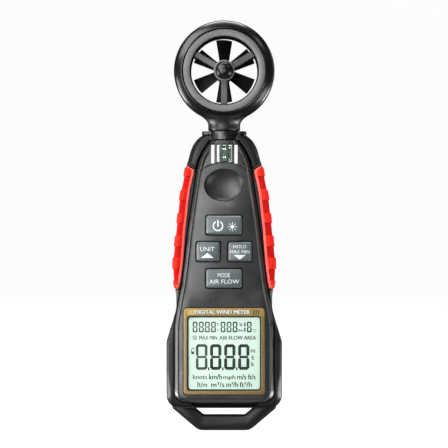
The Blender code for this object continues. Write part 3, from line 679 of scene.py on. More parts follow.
def shell_ring(z):
    """The rear housing's section: a softened front rim and a full round back edge."""
    w, front, back = at(SHELL_WIDTH, z), -at(RIM_DEPTH, z), at(BACK_DEPTH, z)
    soft = at(RIM_SOFTNESS, z)
    rim = [(w - soft * a, front + soft * b) for a, b in
           ((1.5, 0.0), (1.15, 0.1), (0.85, 0.3), (0.22, 1.05), (0.05, 1.4), (0.0, 1.9))]
    corner = [(w - 3.0 + 3.0 * math.cos(a), back - 4.0 + 4.0 * math.sin(a))
              for a in np.linspace(0, math.pi / 2, 9)]
    return level_ring(rim + corner, z)


def grip_wall(z):
    """How far out the grip's inner wall lies."""
    return max(at(SHELL_WIDTH, z) - GRIP_WALL, at(GRIP_INNER, z) + 0.3)


def grip_recess(side):
    """The pocket for a grip, 0.3 mm larger than the grip all round."""
    rings = []
    for z in steps_between(GRIP_LOW - 0.3, GRIP_TOP + 0.3, 1.5):
        w, inner, front = at(SHELL_WIDTH, z), at(GRIP_INNER, z) - 0.3, -at(RIM_DEPTH, z) - 0.2
        back, wall = GRIP_BACK * at(BACK_DEPTH, z) / BACK + 0.3, grip_wall(z) - 0.3
        ring = [(inner, front - 3), (w + 3, front - 3), (w + 3, back), (wall, back),
                (wall, front + 2.5), (inner, front + 2.5)]
        rings.append([(side * x, y, z) for x, y in ring])
    return skin(f"tool_grip_{side}", rings)


def build_rear_housing():
    """The black shell and its bar, cut for the front panel, door, grips, screws, vents and cord."""
    heights = steps_between(10.6, 130.6, 1.0, table_heights(SHELL_WIDTH, RIM_DEPTH, BACK_DEPTH))
    shell = skin("rear_housing", [shell_ring(z) for z in heights], LOOKS["housing"])

    depth = LOOP_HALF_DEPTH
    join(shell, prism("tool_bar", mirrored(LOOP_OUTLINE),
                      [(-depth, 1.2), (-depth + 0.35, 0.5), (-depth + 1.3, 0), (depth - 1, 0),
                       (depth - 0.3, 0.45), (depth, 1.0)]))

    cut(shell, prism("tool_tray", panel_outline(PANEL_GAP, VENT_PANEL_GAP), [(-20, 0), (0.4, 0)]))
    cavity = []
    for z in steps_between(72.5, 127.6, 4.0):
        w, back = at(SHELL_WIDTH, z) - 4.4, at(BACK_DEPTH, z) - 2.4
        cavity.append([(-w, -1, z), (w, -1, z), (w, back, z), (-w, back, z)])
    cut(shell, skin("tool_upper", cavity))

    low, top = node_box("battery_door")
    recess, tongue, inner, outer = 17.2, 18.2, low.y - 0.3, 17.0
    cut(shell, block("tool_bay", (-16.7, 2.0, 18.3), (16.7, outer, 66.8)))
    cut(shell, block("tool_recess", (-recess, inner, 5), (recess, outer, top.z + 0.3)))
    cut(shell, block("tool_groove", (-tongue, inner, 5), (tongue, inner + 1.5, top.z + 0.3)))
    cut(shell, grip_recess(-1))
    cut(shell, grip_recess(1))

    seat_low = node_box("neck_collar")[0].z - 0.3
    cut(shell, rod("tool_seat", 7.95, (0, 0, seat_low), (0, 0, 140), 64))
    cut(shell, rod("tool_clip", 6.6, (0, 0, 127.3), (0, 0, 129), 48))
    for i, screw in enumerate(numbered("case_screw")):
        x, z = middle_of(screw)
        cut(shell, rod(f"tool_screw_{i}", 2.5, (x, 6.0, z), (x, 17, z)))
    for i, x in enumerate(VENT_X):
        vent = rounded(VENT_HALF_WIDTH + 0.15, vent_low(x) - 0.3, VENT_TOP, 0.5, 4, x)
        cut(shell, prism(f"tool_back_vent_{i}", vent, [(3, 0), (17, 0)]))
    cut_lanyard_slot(shell)
    for side in (-1, 1):
        for kind, joined, radius, proud, line in SHOULDER_LINES:
            path = [(side * x, -at(RIM_DEPTH, z) - proud, z) for x, z in line]
            (join if joined else cut)(shell, tube(f"tool_{kind}_{side}", path, radius))
        rear = [(side * x, y, 119.2) for x, y in
                ((16.6, -12.0), (16.35, -9.0), (16.2, 0.0), (16.3, 7.0), (15.2, 11.4))]
        cut(shell, tube(f"tool_side_step_{side}", rear, 0.34))
    # The recessed step under the display takes the darker, duller duct black as painted shade.
    repaint(shell, ["duct"],
            lambda p: 10.1 < p.z < 12.9 and abs(p.x) < 16.8 and -13.0 < p.y < -7.3)
    settle(shade(shell, 34), "root", "black_plastic", "rear_shell")


# Each line across the shoulders: name, whether it stands proud, tube radius, how far its middle
# is in front of the rim, and its (x, z) points.
SHOULDER_LINES = [
    ("step", False, 0.5, 0.02, [(17.4, 119.6), (15.2, 118.3), (13.0, 116.4), (11.6, 115.2)]),
    ("belt", True, 0.36, 0.05, [(16.2, 118.0), (15.2, 117.35), (14.0, 116.5), (12.9, 115.75)])]


def cut_lanyard_slot(shell):
    """The slot through the bar, its slanted lip in front and the recessed step below the display,
    whose faces get painted shade.
    """
    (low_x, low_z), (top_x, top_z), depth = SLOT_LOW, SLOT_TOP, LOOP_HALF_DEPTH
    slot = mirrored([(low_x - 0.5, low_z), (low_x + 0.2, low_z + 0.2), (top_x - 0.1, top_z - 0.5),
                     (top_x - 0.4, top_z)])
    cut(shell, prism("tool_slot", slot, [(-15, 0), (depth - 0.8, 0), (depth, -0.8), (9, -2.8)]))
    wide = mirrored([(low_x + 0.4, low_z - 1.6), (top_x + 1.5, top_z - 0.2)])
    levels = ((-9.0, wide), (-depth, wide), (-depth + 0.75, mirrored([SLOT_LOW, SLOT_TOP])))
    cut(shell, skin("tool_lip", [[(x, y, z) for x, z in outline] for y, outline in levels]))
    cut(shell, prism("tool_under", mirrored([(13.6, 10.2), (16.5, 12.7)]),
                     [(-16, -0.4), (-12.4, -0.3), (-10.0, 0.5), (-7.6, 1.0)]))


def front_ring(x, z):
    """The front panel's section: chamfers rise to a ridge, and the face between lies a step lower.

    The face is gently crowned between the display and the thumb rest.
    """
    front = -at(PANEL_DEPTH, z)
    edge = x - CHAMFER_WIDTH
    right = [(x, TRAY_BACK), (x, front + 1.75), (x - 0.12, front + CHAMFER_DEPTH + 0.1),
             (x - 0.35, front + CHAMFER_DEPTH - 0.1), (edge + 0.3, front + 0.08),
             (edge + 0.1, front), (edge - 0.1, front + 0.02),
             (edge - RIDGE_FOOT, front + face_drop(1.0, z) * 0.95)]
    inner = edge - FACE_EDGE
    right += [(inner * s, front + face_drop(s, z)) for s in (1.0, 0.91, 0.8, 0.6, 0.4, 0.2)]
    return level_ring(right, z)


def face_drop(share, z):
    """How far the face lies behind the ridge, from the middle (0) to the ridge's foot (1)."""
    tilt = at(FACE_TILT, z) * max(0.0, (share - 0.91) / 0.09)
    return at(FACE_STEP, z) + at(FACE_CROWN, z) * share**2 + tilt


def face_y(x, z):
    """Depth of the front panel's face, ridge or chamfer at a place."""
    edge, front = at(PANEL_WIDTH, z) - CHAMFER_WIDTH, -at(PANEL_DEPTH, z)
    x = abs(x)
    if x > edge:
        return front + (x - edge) / CHAMFER_WIDTH * CHAMFER_DEPTH
    share = min(x / (edge - FACE_EDGE), 1.0)
    return front + min(max((edge - x) / RIDGE_FOOT, 0.0), 1.0) * face_drop(share, z)


def crest_z(x):
    """Height of the arched line between the thumb rest and the vents."""
    return CREST_Z + math.sqrt(CREST_RADIUS ** 2 - x * x)


def vent_low(x):
    return crest_z(x) + 0.35


def build_front_panel():
    """The grey panel, cut for the display, keys, thumb rest, vents and pressed lines."""
    half = [(x, z) for x, z in panel_outline() if x > 0]
    extra = [z for _, z in half] + table_heights(PANEL_DEPTH)
    heights = steps_between(half[0][1], half[-1][1], 1.0, extra)
    widths = sorted((z, x) for x, z in half)
    zs, xs = [z for z, _ in widths], [x for _, x in widths]
    panel = skin("front_panel", [front_ring(float(np.interp(z, zs, xs)), z) for z in heights],
                 LOOKS["panel"])

    inside = -FRONT + PLATE
    cut(panel, prism("tool_inside", inner_outline(TRAY_WALL, 14.6, 98.5), [(inside, 0), (0, 0)]))
    behind = mirrored([(at(PANEL_WIDTH, 97.5) - 1.9, 97.5), (at(PANEL_WIDTH, 117.0) - 1.6, 117.0)])
    cut(panel, prism("tool_behind", behind, [(-8.4, 0), (0, 0)]))
    cut(panel, rod("tool_clip_room", 6.6, (0, 0, 127.3), (0, 0, 130), 48))

    low, top = node_box("display_bezel")
    pocket = rounded(top.x + 0.3, low.z - 0.3, top.z + 0.3, BEZEL_CORNER + 0.3)
    cut(panel, prism("tool_bezel", pocket, [(-17, 0), (-FRONT + 1.2, 0)]))
    low, top = node_box("display_lens")
    window = rounded(top.x - 0.25, low.z + 0.25, top.z - 0.25, WINDOW_CORNER)
    cut(panel, prism("tool_window", window, [(-17, 0), (-10, 0)]))
    for key in KEYS:
        low, top = node_box(key)
        hole = rounded(size_of(key).x / 2 - 0.32, low.z + 0.32, top.z - 0.32, 1.4, 6,
                       middle_of(key)[0])
        cut(panel, prism(f"tool_{key}", hole, [(-17, -1.4), (-FRONT - 0.2, -0.25),
                                               (-FRONT + 0.12, 0), (-10, 0)]))
    cut(panel, ball("tool_dimple", (0, -at(PANEL_DEPTH, DIMPLE_Z), DIMPLE_Z),
                    (DIMPLE_X_RADIUS, DIMPLE_DEPTH, DIMPLE_Z_RADIUS)))
    for i, x in enumerate(VENT_X):
        vent = rounded(VENT_HALF_WIDTH, vent_low(x), VENT_TOP, 0.4, 4, x)
        cut(panel, prism(f"tool_vent_{i}", vent, [(-17, 0), (0, 0)]))

    crest = [(x, crest_z(x)) for x in np.linspace(-10.4, 10.4, 41)]
    crest = [(-12.9, 116.3), (-11.6, 115.3)] + crest + [(11.6, 115.3), (12.9, 116.3)]
    cut(panel, tube("tool_crest", [(x, face_y(x, z), z) for x, z in crest], GROOVE))
    cheek = [(6.3, 123.1), (7.0, 122.5), (7.9, 121.2), (8.7, 119.5), (9.3, 117.6), (9.85, 115.9),
             (10.1, 115.1)]
    for side in (-1, 1):
        path = [(side * x, face_y(x, z), z) for x, z in cheek]
        cut(panel, tube(f"tool_cheek_{side}", path, GROOVE))

    def in_dimple(p):
        reach = math.hypot(p.x / DIMPLE_X_RADIUS, (p.z - DIMPLE_Z) / DIMPLE_Z_RADIUS)
        return reach < 1.0 and face_y(p.x, p.z) + 0.1 < p.y < -8.0

    # Faces inside the thumb rest take that darker grey: painted shade in the hollow.
    shade(repaint(panel, ["thumb"], in_dimple), 34)
    even = panel.modifiers.new("even_normals", "WEIGHTED_NORMAL")
    even.keep_sharp = True
    settle(panel, "root", "grey_plastic", "front_shell")


# ---- side grips ----------------------------------------------------------------------------------
def block_share(z):
    """1 on a raised block, 0 between blocks, with short rounded ramps."""
    best = 0.0
    for low, top in GRIP_BLOCKS:
        up = 1.0 if low <= GRIP_LOW else min(max((z - low) / 0.5 + 0.5, 0), 1)
        down = 1.0 if top >= GRIP_TOP else min(max((top - z) / 0.5 + 0.5, 0), 1)
        best = max(best, min(up, down))
    return best * best * (3 - 2 * best)


def grip_ring(side, z):
    """A channel round the housing's side: inner strip, rounded front edge and a long side wall."""
    end = min(z - GRIP_LOW, GRIP_TOP - z)
    shrink = 0.7 * (1 - min(end / 0.9, 1)) ** 2
    w, inner, front = at(SHELL_WIDTH, z), at(GRIP_INNER, z), -at(RIM_DEPTH, z) - 0.2
    lift, back = 0.5 * block_share(z), GRIP_BACK * at(BACK_DEPTH, z) / BACK
    out, sink, wall = w + (lift - shrink), 0.22 * (1 - block_share(z)), grip_wall(z)
    front += shrink
    strip = inner + min(1.15, (w - inner) * 0.3)
    ring = [(inner, front + 0.6), (inner + 0.1, front + 0.25), (inner + 0.4, front), (strip, front),
            (strip + 0.2, front + sink), (strip + 0.45, front + sink - 0.4 * lift),
            (w - 1.5, front + sink - lift), (w - 0.8, front + 0.12 + sink - lift),
            (out - 0.32, front + 0.55), (out - 0.06, front + 1.2), (out, front + 2.0),
            (out, back - 1.6), (out - 0.15, back - 0.6), (out - 0.6, back - 0.1), (out - 1.0, back),
            (wall, back), (wall, front + 2.2), (inner, front + 2.2)]
    return [(side * x, y, z) for x, y in ring]


def grip_highlight_and_shade(p):
    """Painted light on the grip: a painted highlight on the inner strip, then painted shade between
    the blocks.
    """
    if abs(p.x) < at(GRIP_INNER, p.z) + 1.2:
        return 2
    return 1 if block_share(p.z) < 0.5 else 0


def build_grips():
    edges = [edge for span in GRIP_BLOCKS for edge in span]
    extra = [edge + shift for edge in edges for shift in (-0.25, -0.12, 0, 0.12, 0.25)
             if GRIP_LOW < edge + shift < GRIP_TOP]
    ends = [GRIP_LOW + d for d in (0.2, 0.45, 0.9)] + [GRIP_TOP - d for d in (0.2, 0.45, 0.9)]
    heights = steps_between(GRIP_LOW, GRIP_TOP, 0.8, extra + ends)
    for side, word in ((-1, "left"), (1, "right")):
        grip = skin(f"rubber_grip_{word}", [grip_ring(side, z) for z in heights], LOOKS["grip"])
        # The inner strip gets a painted highlight and the gaps between blocks get painted shade.
        repaint(grip, ["grip_deep", "grip_strip"], grip_highlight_and_shade)
        settle(shade(grip, 40), "root", "red_rubber", f"side_grip_{word}")


# ---- neck, head, guards and blades ---------------------------------------------------------------
def oval(rx, ry, z, square):
    """A ring of an ellipse whose corners fill out as the power rises above two."""
    ring = []
    for a in full_turn(96):
        c, s = math.cos(a), math.sin(a)
        ring.append((rx * math.copysign(abs(c) ** (2 / square), c),
                     ry * math.copysign(abs(s) ** (2 / square), s), z))
    return ring


def through(name, radius, steps):
    """A bar along the head's own axis, for boring holes round it."""
    return rod(name, radius, CENTRE + Vector((0, -14, 0)), CENTRE + Vector((0, 14, 0)), steps)


def build_collar():
    """The round collar under the head, with its winged flange."""
    low, top = node_box("neck_collar")
    barrel, bore = 7.65, 5.3
    profile = [(bore, low.z), (barrel - 0.3, low.z), (barrel, low.z + 0.3), (barrel, top.z - 0.55),
               (barrel - 0.12, top.z - 0.22), (barrel - 0.45, top.z), (bore, top.z)]
    collar = turned("swivel_collar", profile, 96, LOOKS["collar"], axis="Z")
    wing = []
    for z, pull in ((130.9, 0.3), (131.2, 0.0), (top.z - 0.5, 0.0), (top.z - 0.15, 0.15),
                    (top.z, 0.5)):
        half = [(7.0, -4.9 + pull), (9.0 - pull, -4.6 + pull), (9.8 - pull, -3.6),
                (10.0 - pull, 3.6), (8.6 - pull, 6.4 - pull), (6.6, 7.4 - pull)]
        wing.append(level_ring(half, z))
    flange = cut(skin("tool_wings", wing),
                 rod("tool_wing_bore", bore + 1.2, (0, 0, 129), (0, 0, 134), 64))
    settle(shade(join(collar, flange), 30), "root", "gloss_black", "neck_collar")


def build_head_housing():
    """The ring with its seats for the guards, and the neck that flares into it."""
    r, half = HEAD_RADIUS, HEAD_HALF_DEPTH
    inner = [(DUCT_RADIUS, 0.0), (DUCT_RADIUS, 5.4), (DUCT_RADIUS + 0.3, 6.9),
             (DUCT_RADIUS + 0.4, 6.9), (DUCT_RADIUS + 0.4, GUARD_SEAT), (GUARD_EDGE, GUARD_SEAT)]
    cone = [(GUARD_EDGE, half - 0.35), (18.66, half - 0.12), (18.85, half), (19.15, half - 0.08),
            (20.3, half - 0.7), (21.3, half - 1.32), (21.8, half - 1.8), (22.1, half - 2.4),
            (22.28, half - 3.2), (r, half - 4.4)]
    side = inner + cone + [(r, 0.0)]
    profile = [(radius, -y) for radius, y in side] + [(radius, y) for radius, y in side[-2:0:-1]]
    head = turned("vane_head", profile, 160, LOOKS["gloss"], CENTRE)

    stations = [(132.9, 6.75, 6.75, 2.0), (133.05, 7.02, 7.02, 2.0), (133.35, 7.15, 7.15, 2.0),
                (134.4, 7.1, 7.1, 2.0), (135.4, 7.12, 7.12, 2.0), (136.1, 7.25, 7.2, 2.0),
                (136.9, 7.6, 7.4, 2.05), (137.7, 8.2, 7.7, 2.1), (138.5, 9.1, 8.0, 2.15),
                (139.3, 10.1, 8.2, 2.2), (140.2, 11.1, 8.2, 2.3), (141.2, 12.0, 8.0, 2.4)]
    neck = skin("tool_neck", [oval(rx, ry, z, power) for z, rx, ry, power in stations])
    cut(neck, through("tool_neck_inner", 18.7, 128))
    plug = [(0, 127.3), (3.9, 127.3), (3.9, 128.5), (5.0, 128.7), (5.0, 134.0), (0, 134.0)]
    spigot = turned("tool_spigot", plug, 48, axis="Z")
    join(head, neck)
    join(head, spigot)
    cut(head, rod("tool_cable", 2.2, (0, 0, 120), (0, 0, 143.2), 32))
    notch = [(radius, GUARD_SEAT - 0.01, 6.5) for radius in (14.4, 15.9)]
    for side in (-1, 1):
        for angle in ARM_ANGLES:
            cut(head, spoke(f"tool_notch_{side}_{angle}", angle, side, 3.4, notch))

    def tone(p):
        if from_axis(p) < GUARD_EDGE + 0.02:
            return 1
        return 2 if p.z - HEAD_Z < -20.5 else 0

    shade(repaint(head, ["duct", "neck"], tone), 30)
    settle(head, "head", "gloss_black", "head_housing")


def from_axis(p):
    """A point's distance from the impeller's axis."""
    return math.hypot(p.x - CENTRE.x, p.z - CENTRE.z)


def spoke(name, angle, side, width, profile):
    """A bar that runs outwards at this angle; profile holds (radius, near face, far face)."""
    turn = Matrix.Rotation(math.radians(90 - angle), 3, "Y")
    rings = []
    for radius, near, far in profile:
        half, soft = width / 2, 0.35
        ring = [(-half, near), (half, near), (half, far - soft), (half - soft, far),
                (-half + soft, far), (-half, far - soft)]
        rings.append([tuple(CENTRE + turn @ Vector((x, side * y, radius))) for x, y in ring])
    return skin(name, rings)


def facing(side, profile):
    """A turned profile of (radius, distance forward) on the front (-1) or the back (1)."""
    return [(radius, side * y) for radius, y in profile]


def build_guard(name, node, side):
    """A flat ring with three arms and a hub that holds the bearing; side is -1 in front."""
    ring_profile = [(15.3, 5.3), (18.3, 5.3), (18.3, 7.95), (18.24, 8.13), (18.1, 8.2), (15.5, 8.2),
                    (15.36, 8.13), (15.3, 7.95)]
    guard = turned(name, facing(side, ring_profile), 144, LOOKS["guard"], CENTRE)
    hub_profile = [(0.9, 5.3), (4.7, 5.3), (4.7, 7.55), (4.62, 7.8), (4.4, 8.0), (2.5, 8.0),
                   (2.3, 7.8), (2.3, 5.5), (0.9, 5.5)]
    hub = turned("tool_hub", facing(side, hub_profile), 64, LOOKS["guard"], CENTRE)
    arm_profile = [(2.8, 5.3, 7.0), (5.4, 5.3, 6.6), (14.6, 5.3, 6.4), (14.9, 5.3, 6.1),
                   (16.9, 5.3, 6.0)]
    for angle in ARM_ANGLES:
        arm = spoke(f"tool_arm_{angle}", angle, side, 2.9, arm_profile)
        join(guard, cut(arm, through(f"tool_arm_bore_{angle}", 2.4, 48)))
    join(guard, hub)
    # The arms sit deeper than the ring and get the darker grey as painted shade.
    repaint(guard, ["guard_arm"], lambda p: 4.75 < from_axis(p) < 15.25)
    settle(shade(guard), "head", "guard_grey", node)


def build_hub_cap(name, node, side):
    """A glossy dome over the bearing with a fine rim at its foot."""
    dome = [(0.0, 8.3), (3.8, 8.3), (3.95, 8.42), (3.95, 8.7), (3.86, 8.95)]
    dome += [(3.8 * math.cos(a), 8.95 + 2.2 * math.sin(a))
             for a in np.linspace(0.12, math.pi / 2, 14)[:-1]]
    cap = turned(name, facing(side, dome + [(0.0, 11.15)]), 72, LOOKS["dome"], CENTRE)
    settle(cap, "head", "gloss_black", node)


def blade(index):
    """One vane: a thin cambered section whose pitch opens from the root to the tip."""
    turn = Matrix.Rotation(math.tau * index / BLADES, 3, "Y")
    rings = []
    for share in np.linspace(0, 1, 11):
        radius = 3.4 + (14.3 - 3.4) * share
        half_chord = 2.75 + 1.75 * share
        pitch = math.radians(45 - 11 * share)
        top, bottom = [], []
        for s in np.linspace(-1, 1, 9):
            thick = 0.40 * math.sqrt(max(0.0, 1 - s * s)) * (1 - 0.25 * share) + 0.07
            camber = 0.38 * (1 - s * s)
            for line, sign in ((top, 1), (bottom, -1)):
                along, off = s * half_chord, camber + sign * thick
                line.append((along * math.cos(pitch) - off * math.sin(pitch),
                             along * math.sin(pitch) + off * math.cos(pitch)))
        rings.append([tuple(CENTRE + turn @ Vector((x, y, radius))) for x, y in top + bottom[::-1]])
    return skin(f"tool_blade_{index}", rings)


def build_impeller():
    """A turned hub with its vanes trimmed to the duct."""
    hub = [(0.9, -4.2), (1.6, -4.4), (3.5, -4.4), (3.95, -4.15), (4.2, -3.6), (4.2, 3.6),
           (3.95, 4.15), (3.5, 4.4), (1.6, 4.4), (0.9, 4.2)]
    wheel = turned("vane_wheel", hub, 72, LOOKS["blade"], CENTRE)
    for i in range(BLADES):
        vane = cut(blade(i), through(f"tool_blade_bore_{i}", 2.2, 48))
        combine(vane, [through(f"tool_sweep_{i}", 14.05, 128)], "INTERSECT")
        join(wheel, vane)
    settle(shade(wheel, 34), "impeller", "blade_black", "impeller")


# ---- prints: flat shapes a few hundredths of a millimetre proud ----------------------------------
def printed(name, outlines, y, look):
    """Flat closed shapes in XZ with their front at y."""
    bm = bmesh.new()
    for outline in outlines:
        front = [bm.verts.new((x, y, z)) for x, z in outline]
        back = [bm.verts.new((x, y + PRINT_DEPTH, z)) for x, z in outline]
        bm.faces.new(front)
        bm.faces.new(back[::-1])
        for i in range(len(front)):
            j = (i + 1) % len(front)
            bm.faces.new((front[j], front[i], back[i], back[j]))
    return place(name, bm, look, smooth=False)


def lettering(name, words, left, right, low, top, y, look, bold=0.0):
    """Words that face the front and fill the given edges; bold widens their strokes."""
    curve = bpy.data.curves.new(name, "FONT")
    curve.body, curve.size, curve.extrude, curve.resolution_u = words, 1.0, 0.5, 3
    draft = add_object(name, curve)
    mesh = ready_mesh(draft)
    bpy.data.objects.remove(draft, do_unlink=True)
    bpy.data.curves.remove(curve)
    bm = bmesh.new()
    bm.from_mesh(mesh)
    bpy.data.meshes.remove(mesh)
    xs, zs = [v.co.x for v in bm.verts], [v.co.y for v in bm.verts]
    for v in bm.verts:
        across, up, out = v.co
        v.co = (left + (across - min(xs)) / (max(xs) - min(xs)) * (right - left),
                y + PRINT_DEPTH * (0.5 - out),
                low + (up - min(zs)) / (max(zs) - min(zs)) * (top - low))
    if bold:
        twin = bmesh.ops.duplicate(bm, geom=bm.verts[:] + bm.edges[:] + bm.faces[:])["geom"]
        bmesh.ops.translate(bm, vec=(bold, 0.004, 0),
                            verts=[v for v in twin if isinstance(v, bmesh.types.BMVert)])
    return place(name, bm, look, smooth=False)


SEGMENTS = {"8": "abcdefg", "1": "bc"}


def digit(sign, left, right, low, top, stroke):
    """Outlines of a seven-segment digit with mitred bars."""
    middle, gap, tip = (low + top) / 2, stroke * 0.10, stroke * 0.42
    west, east = left + stroke / 2, right - stroke / 2
    bars = {"a": (left, right, top - stroke / 2, True), "d": (left, right, low + stroke / 2, True),
            "g": (left, right, middle, True), "f": (middle, top, west, False),
            "b": (middle, top, east, False), "e": (low, middle, west, False),
            "c": (low, middle, east, False)}
    shapes = []
    for key in SEGMENTS[sign]:
        start, end, line, flat = bars[key]
        start, end = start + gap + stroke * 0.18, end - gap - stroke * 0.18
        half = stroke / 2 * (0.82 if key == "g" else 1.0)
        shape = [(start + tip, line - half), (end - tip, line - half), (end, line),
                 (end - tip, line + half), (start + tip, line + half), (start, line)]
        shapes.append(shape if flat else [(b, a) for a, b in shape[::-1]])
    return shapes


def bar(left, right, low, top):
    return [(left, low), (right, low), (right, top), (left, top)]


def slanted(left, width, low, top):
    """A bar that leans half a millimetre to the right."""
    return [(left, low), (left + width, low), (left + width + 0.5, top), (left + 0.5, top)]


def circle(x, z, radius):
    return [(x + radius * math.cos(a), z + radius * math.sin(a)) for a in full_turn(20)]


# ---- display -------------------------------------------------------------------------------------
def build_bezel():
    """The gold frame with its title strip."""
    low, top = node_box("display_bezel")
    front = low.y
    bezel = prism("gold_bezel", rounded(top.x, low.z, top.z, BEZEL_CORNER, 8),
                  [(front, 0.42), (front + 0.04, 0.24), (front + 0.16, 0.08), (front + 0.35, 0.0),
                   (top.y, 0.0)], LOOKS["gold"])
    lens_low, lens_top = node_box("display_lens")
    hole = rounded(lens_top.x + 0.3, lens_low.z - 0.3, lens_top.z + 0.3, WINDOW_CORNER, 8)
    cut(bezel, prism("tool_bezel_window", hole,
                     [(-17, -0.5), (front + 0.05, -0.18), (front + 0.3, 0), (-10, 0)]))
    settle(shade(bezel, 34), "root", "gold_trim", "display_bezel")

    flush = front - 0.025
    words = "DIGITAL WIND METER"
    shadow = lettering("strip_shadow", words, -12.62, 11.55, 51.62, 53.32, flush + 0.012,
                       LOOKS["black_ink"], bold=0.14)
    settle(shadow, "root", "gloss_black")
    title = lettering("strip_title", words, -12.95, 11.2, 51.85, 53.5, flush - 0.012,
                      LOOKS["white_ink"], bold=0.12)
    settle(title, "root", "white_plastic")
    dark = [slanted(12.5 + 1.05 * i, 0.5, 51.4, 53.7) for i in range(3)]
    pale = [slanted(-15.9 + 0.95 * i, 0.45, 51.5, 53.6) for i in range(3)]
    settle(printed("strip_bars_right", dark, flush, LOOKS["black_ink"]), "root", "gloss_black")
    settle(printed("strip_bars_left", pale, flush, LOOKS["pale_gold"]), "root", "gold_trim")


def build_lens():
    """The clear window and the black border printed behind it."""
    low, top = node_box("display_lens")
    outline = rounded(top.x, low.z, top.z, WINDOW_CORNER, 8)
    lens = prism("window_lens", outline,
                 [(low.y, 0.30), (low.y + 0.08, 0.14), (low.y + 0.3, 0.0), (top.y, 0.0)],
                 LOOKS["window"])
    settle(lens, "root", "clear_lens", "display_lens")
    border = prism("lens_border", pull_in(outline, 0.02),
                   [(top.y + 0.02, 0), (top.y + 0.06, 0)], LOOKS["black_ink"])
    clear = rounded(top.x - 0.28, low.z + 0.28, top.z - 0.28, WINDOW_CORNER - 0.2, 8)
    cut(border, prism("tool_clear", clear, [(-17, 0), (-10, 0)]))
    settle(shade(border, 34), "root", "gloss_black")


def build_crystal():
    """The liquid-crystal glass behind the lens with every segment and word it can show."""
    low, top = node_box("lcd_panel")
    lens_low, lens_top = node_box("display_lens")
    face = lens_top.y + 0.35
    view = rounded(lens_top.x - 0.35, lens_low.z + 0.35, lens_top.z - 0.35, 1.1, 6)
    glass = prism("crystal_face", view, [(face, 0.0), (low.y + 0.1, 0.0)], LOOKS["green"])
    join(glass, block("tool_glass", tuple(low), tuple(top)))
    settle(shade(glass, 34), "root", "lcd_green", "lcd_panel")

    y = face - PRINT_DEPTH
    settle(printed("segments_dark", dark_segments(), y, LOOKS["segment"]), "root", "gloss_black")
    # The paler segments and words carry painted sheen.
    settle(printed("segments_sheen_paled", sheen_paled_segments(), y, LOOKS["faint"]), "root", "gloss_black")

    for tone, look, bold in (("dark", "segment", 0.13), ("faint", "faint", 0.10)):
        words = [lettering(f"tool_word_{i}", *row[:5], y, LOOKS[look], bold=bold)
                 for i, row in enumerate(DISPLAY_WORDS) if row[5] == tone]
        settle(gather(f"words_{tone}", words, LOOKS[look]), "root", "gloss_black")


def dark_segments():
    """Segments that stand out: the humidity digits, three tall digits and their points."""
    shapes = []
    for sign, left, right in (("8", 3.7, 5.85), ("1", 8.0, 9.4), ("8", 9.95, 12.1)):
        shapes += digit(sign, left, right, *SMALL_DIGIT, 0.62)
    for x in (-6.2, 0.0, 6.15):
        shapes += digit("8", x - 0.05, x + 4.95, *TALL_DIGIT, 1.36)
        shapes.append(bar(x - 0.95, x - 0.3, 27.0, 28.3))
    return shapes + [[(-14.25, 34.1), (-13.4, 34.1), (-13.4, 34.9), (-14.25, 35.5)]]


def sheen_paled_segments():
    """Segments in the paler ink that stands for painted sheen: the clock's digits, marks and box,
    the first tall digit and the battery.
    """
    shapes = []
    for i, x in enumerate((-13.9, -11.15, -8.5, -5.8)):
        shapes += digit("8", x, x + 2.15, *SMALL_DIGIT, 0.6)
        if i < 3:
            shapes.append(bar(x + 2.25, x + 2.5, 43.75, 44.1))
    for x in (-1.6, 1.05):
        shapes += digit("8", x, x + 2.15, *SMALL_DIGIT, 0.6)
    shapes += [bar(*edges) for edges in FAINT_MARKS] + [circle(-12.95, 41.35, 0.36)]
    shapes += digit("8", -12.5, -7.35, *TALL_DIGIT, 1.2)
    return shapes + [bar(*edges) for edges in BATTERY_MARK]


# Words on the display: left, right, low, top edge and tone; the paler tone stands for painted
# sheen.
DISPLAY_WORDS = [
    ("MAX MIN", -11.1, -3.2, 40.45, 42.2, "faint"), ("AIR", -2.2, 1.35, 40.45, 42.2, "faint"),
    ("FLOW AREA", 2.1, 13.9, 40.45, 42.2, "dark"), ("%", 6.55, 8.0, 46.4, 47.7, "dark"),
    ("RH", 6.35, 8.25, 44.0, 45.0, "dark"), ("°C", 12.55, 14.1, 43.8, 45.15, "faint"),
    ("m", 11.75, 13.5, 34.8, 36.15, "dark"), ("ft", 11.95, 13.1, 31.6, 33.6, "dark"),
    ("k", 11.95, 13.0, 28.8, 30.8, "dark"), ("knots", -13.75, -7.6, 23.1, 25.15, "faint"),
    ("km/h", -6.7, -1.1, 23.0, 25.3, "dark"), ("mph", -0.4, 4.8, 22.6, 24.9, "dark"),
    ("m/s", 5.7, 9.6, 23.0, 25.3, "dark"), ("ft/s", 10.4, 13.7, 23.0, 25.3, "dark"),
    ("ft/m", -12.0, -7.6, 19.6, 21.9, "faint"), ("m³/s", -5.8, 0.0, 19.6, 21.9, "dark"),
    ("m³/h", 0.9, 6.0, 19.6, 21.9, "dark"), ("ft³/h", 6.8, 12.0, 19.6, 21.9, "dark")]
SMALL_DIGIT, TALL_DIGIT = (43.7, 48.4), (27.2, 38.5)
FAINT_MARKS = [(-3.15, -2.45, 47.35, 47.75), (-2.95, -2.65, 46.45, 47.2), (-3.0, -2.6, 44.2, 45.0),
               (0.7, 0.92, 43.75, 44.1), (3.35, 3.57, 43.75, 44.1), (-13.85, -12.05, 40.45, 40.7),
               (-13.85, -12.05, 42.0, 42.25), (-13.85, -13.6, 40.75, 41.95),
               (-12.3, -12.05, 40.75, 41.95)]
BATTERY_MARK = [(-14.5, -13.15, 36.4, 36.62), (-14.5, -14.28, 34.3, 36.35),
                (-13.37, -13.15, 34.3, 36.35), (-14.1, -13.55, 36.65, 36.95)]


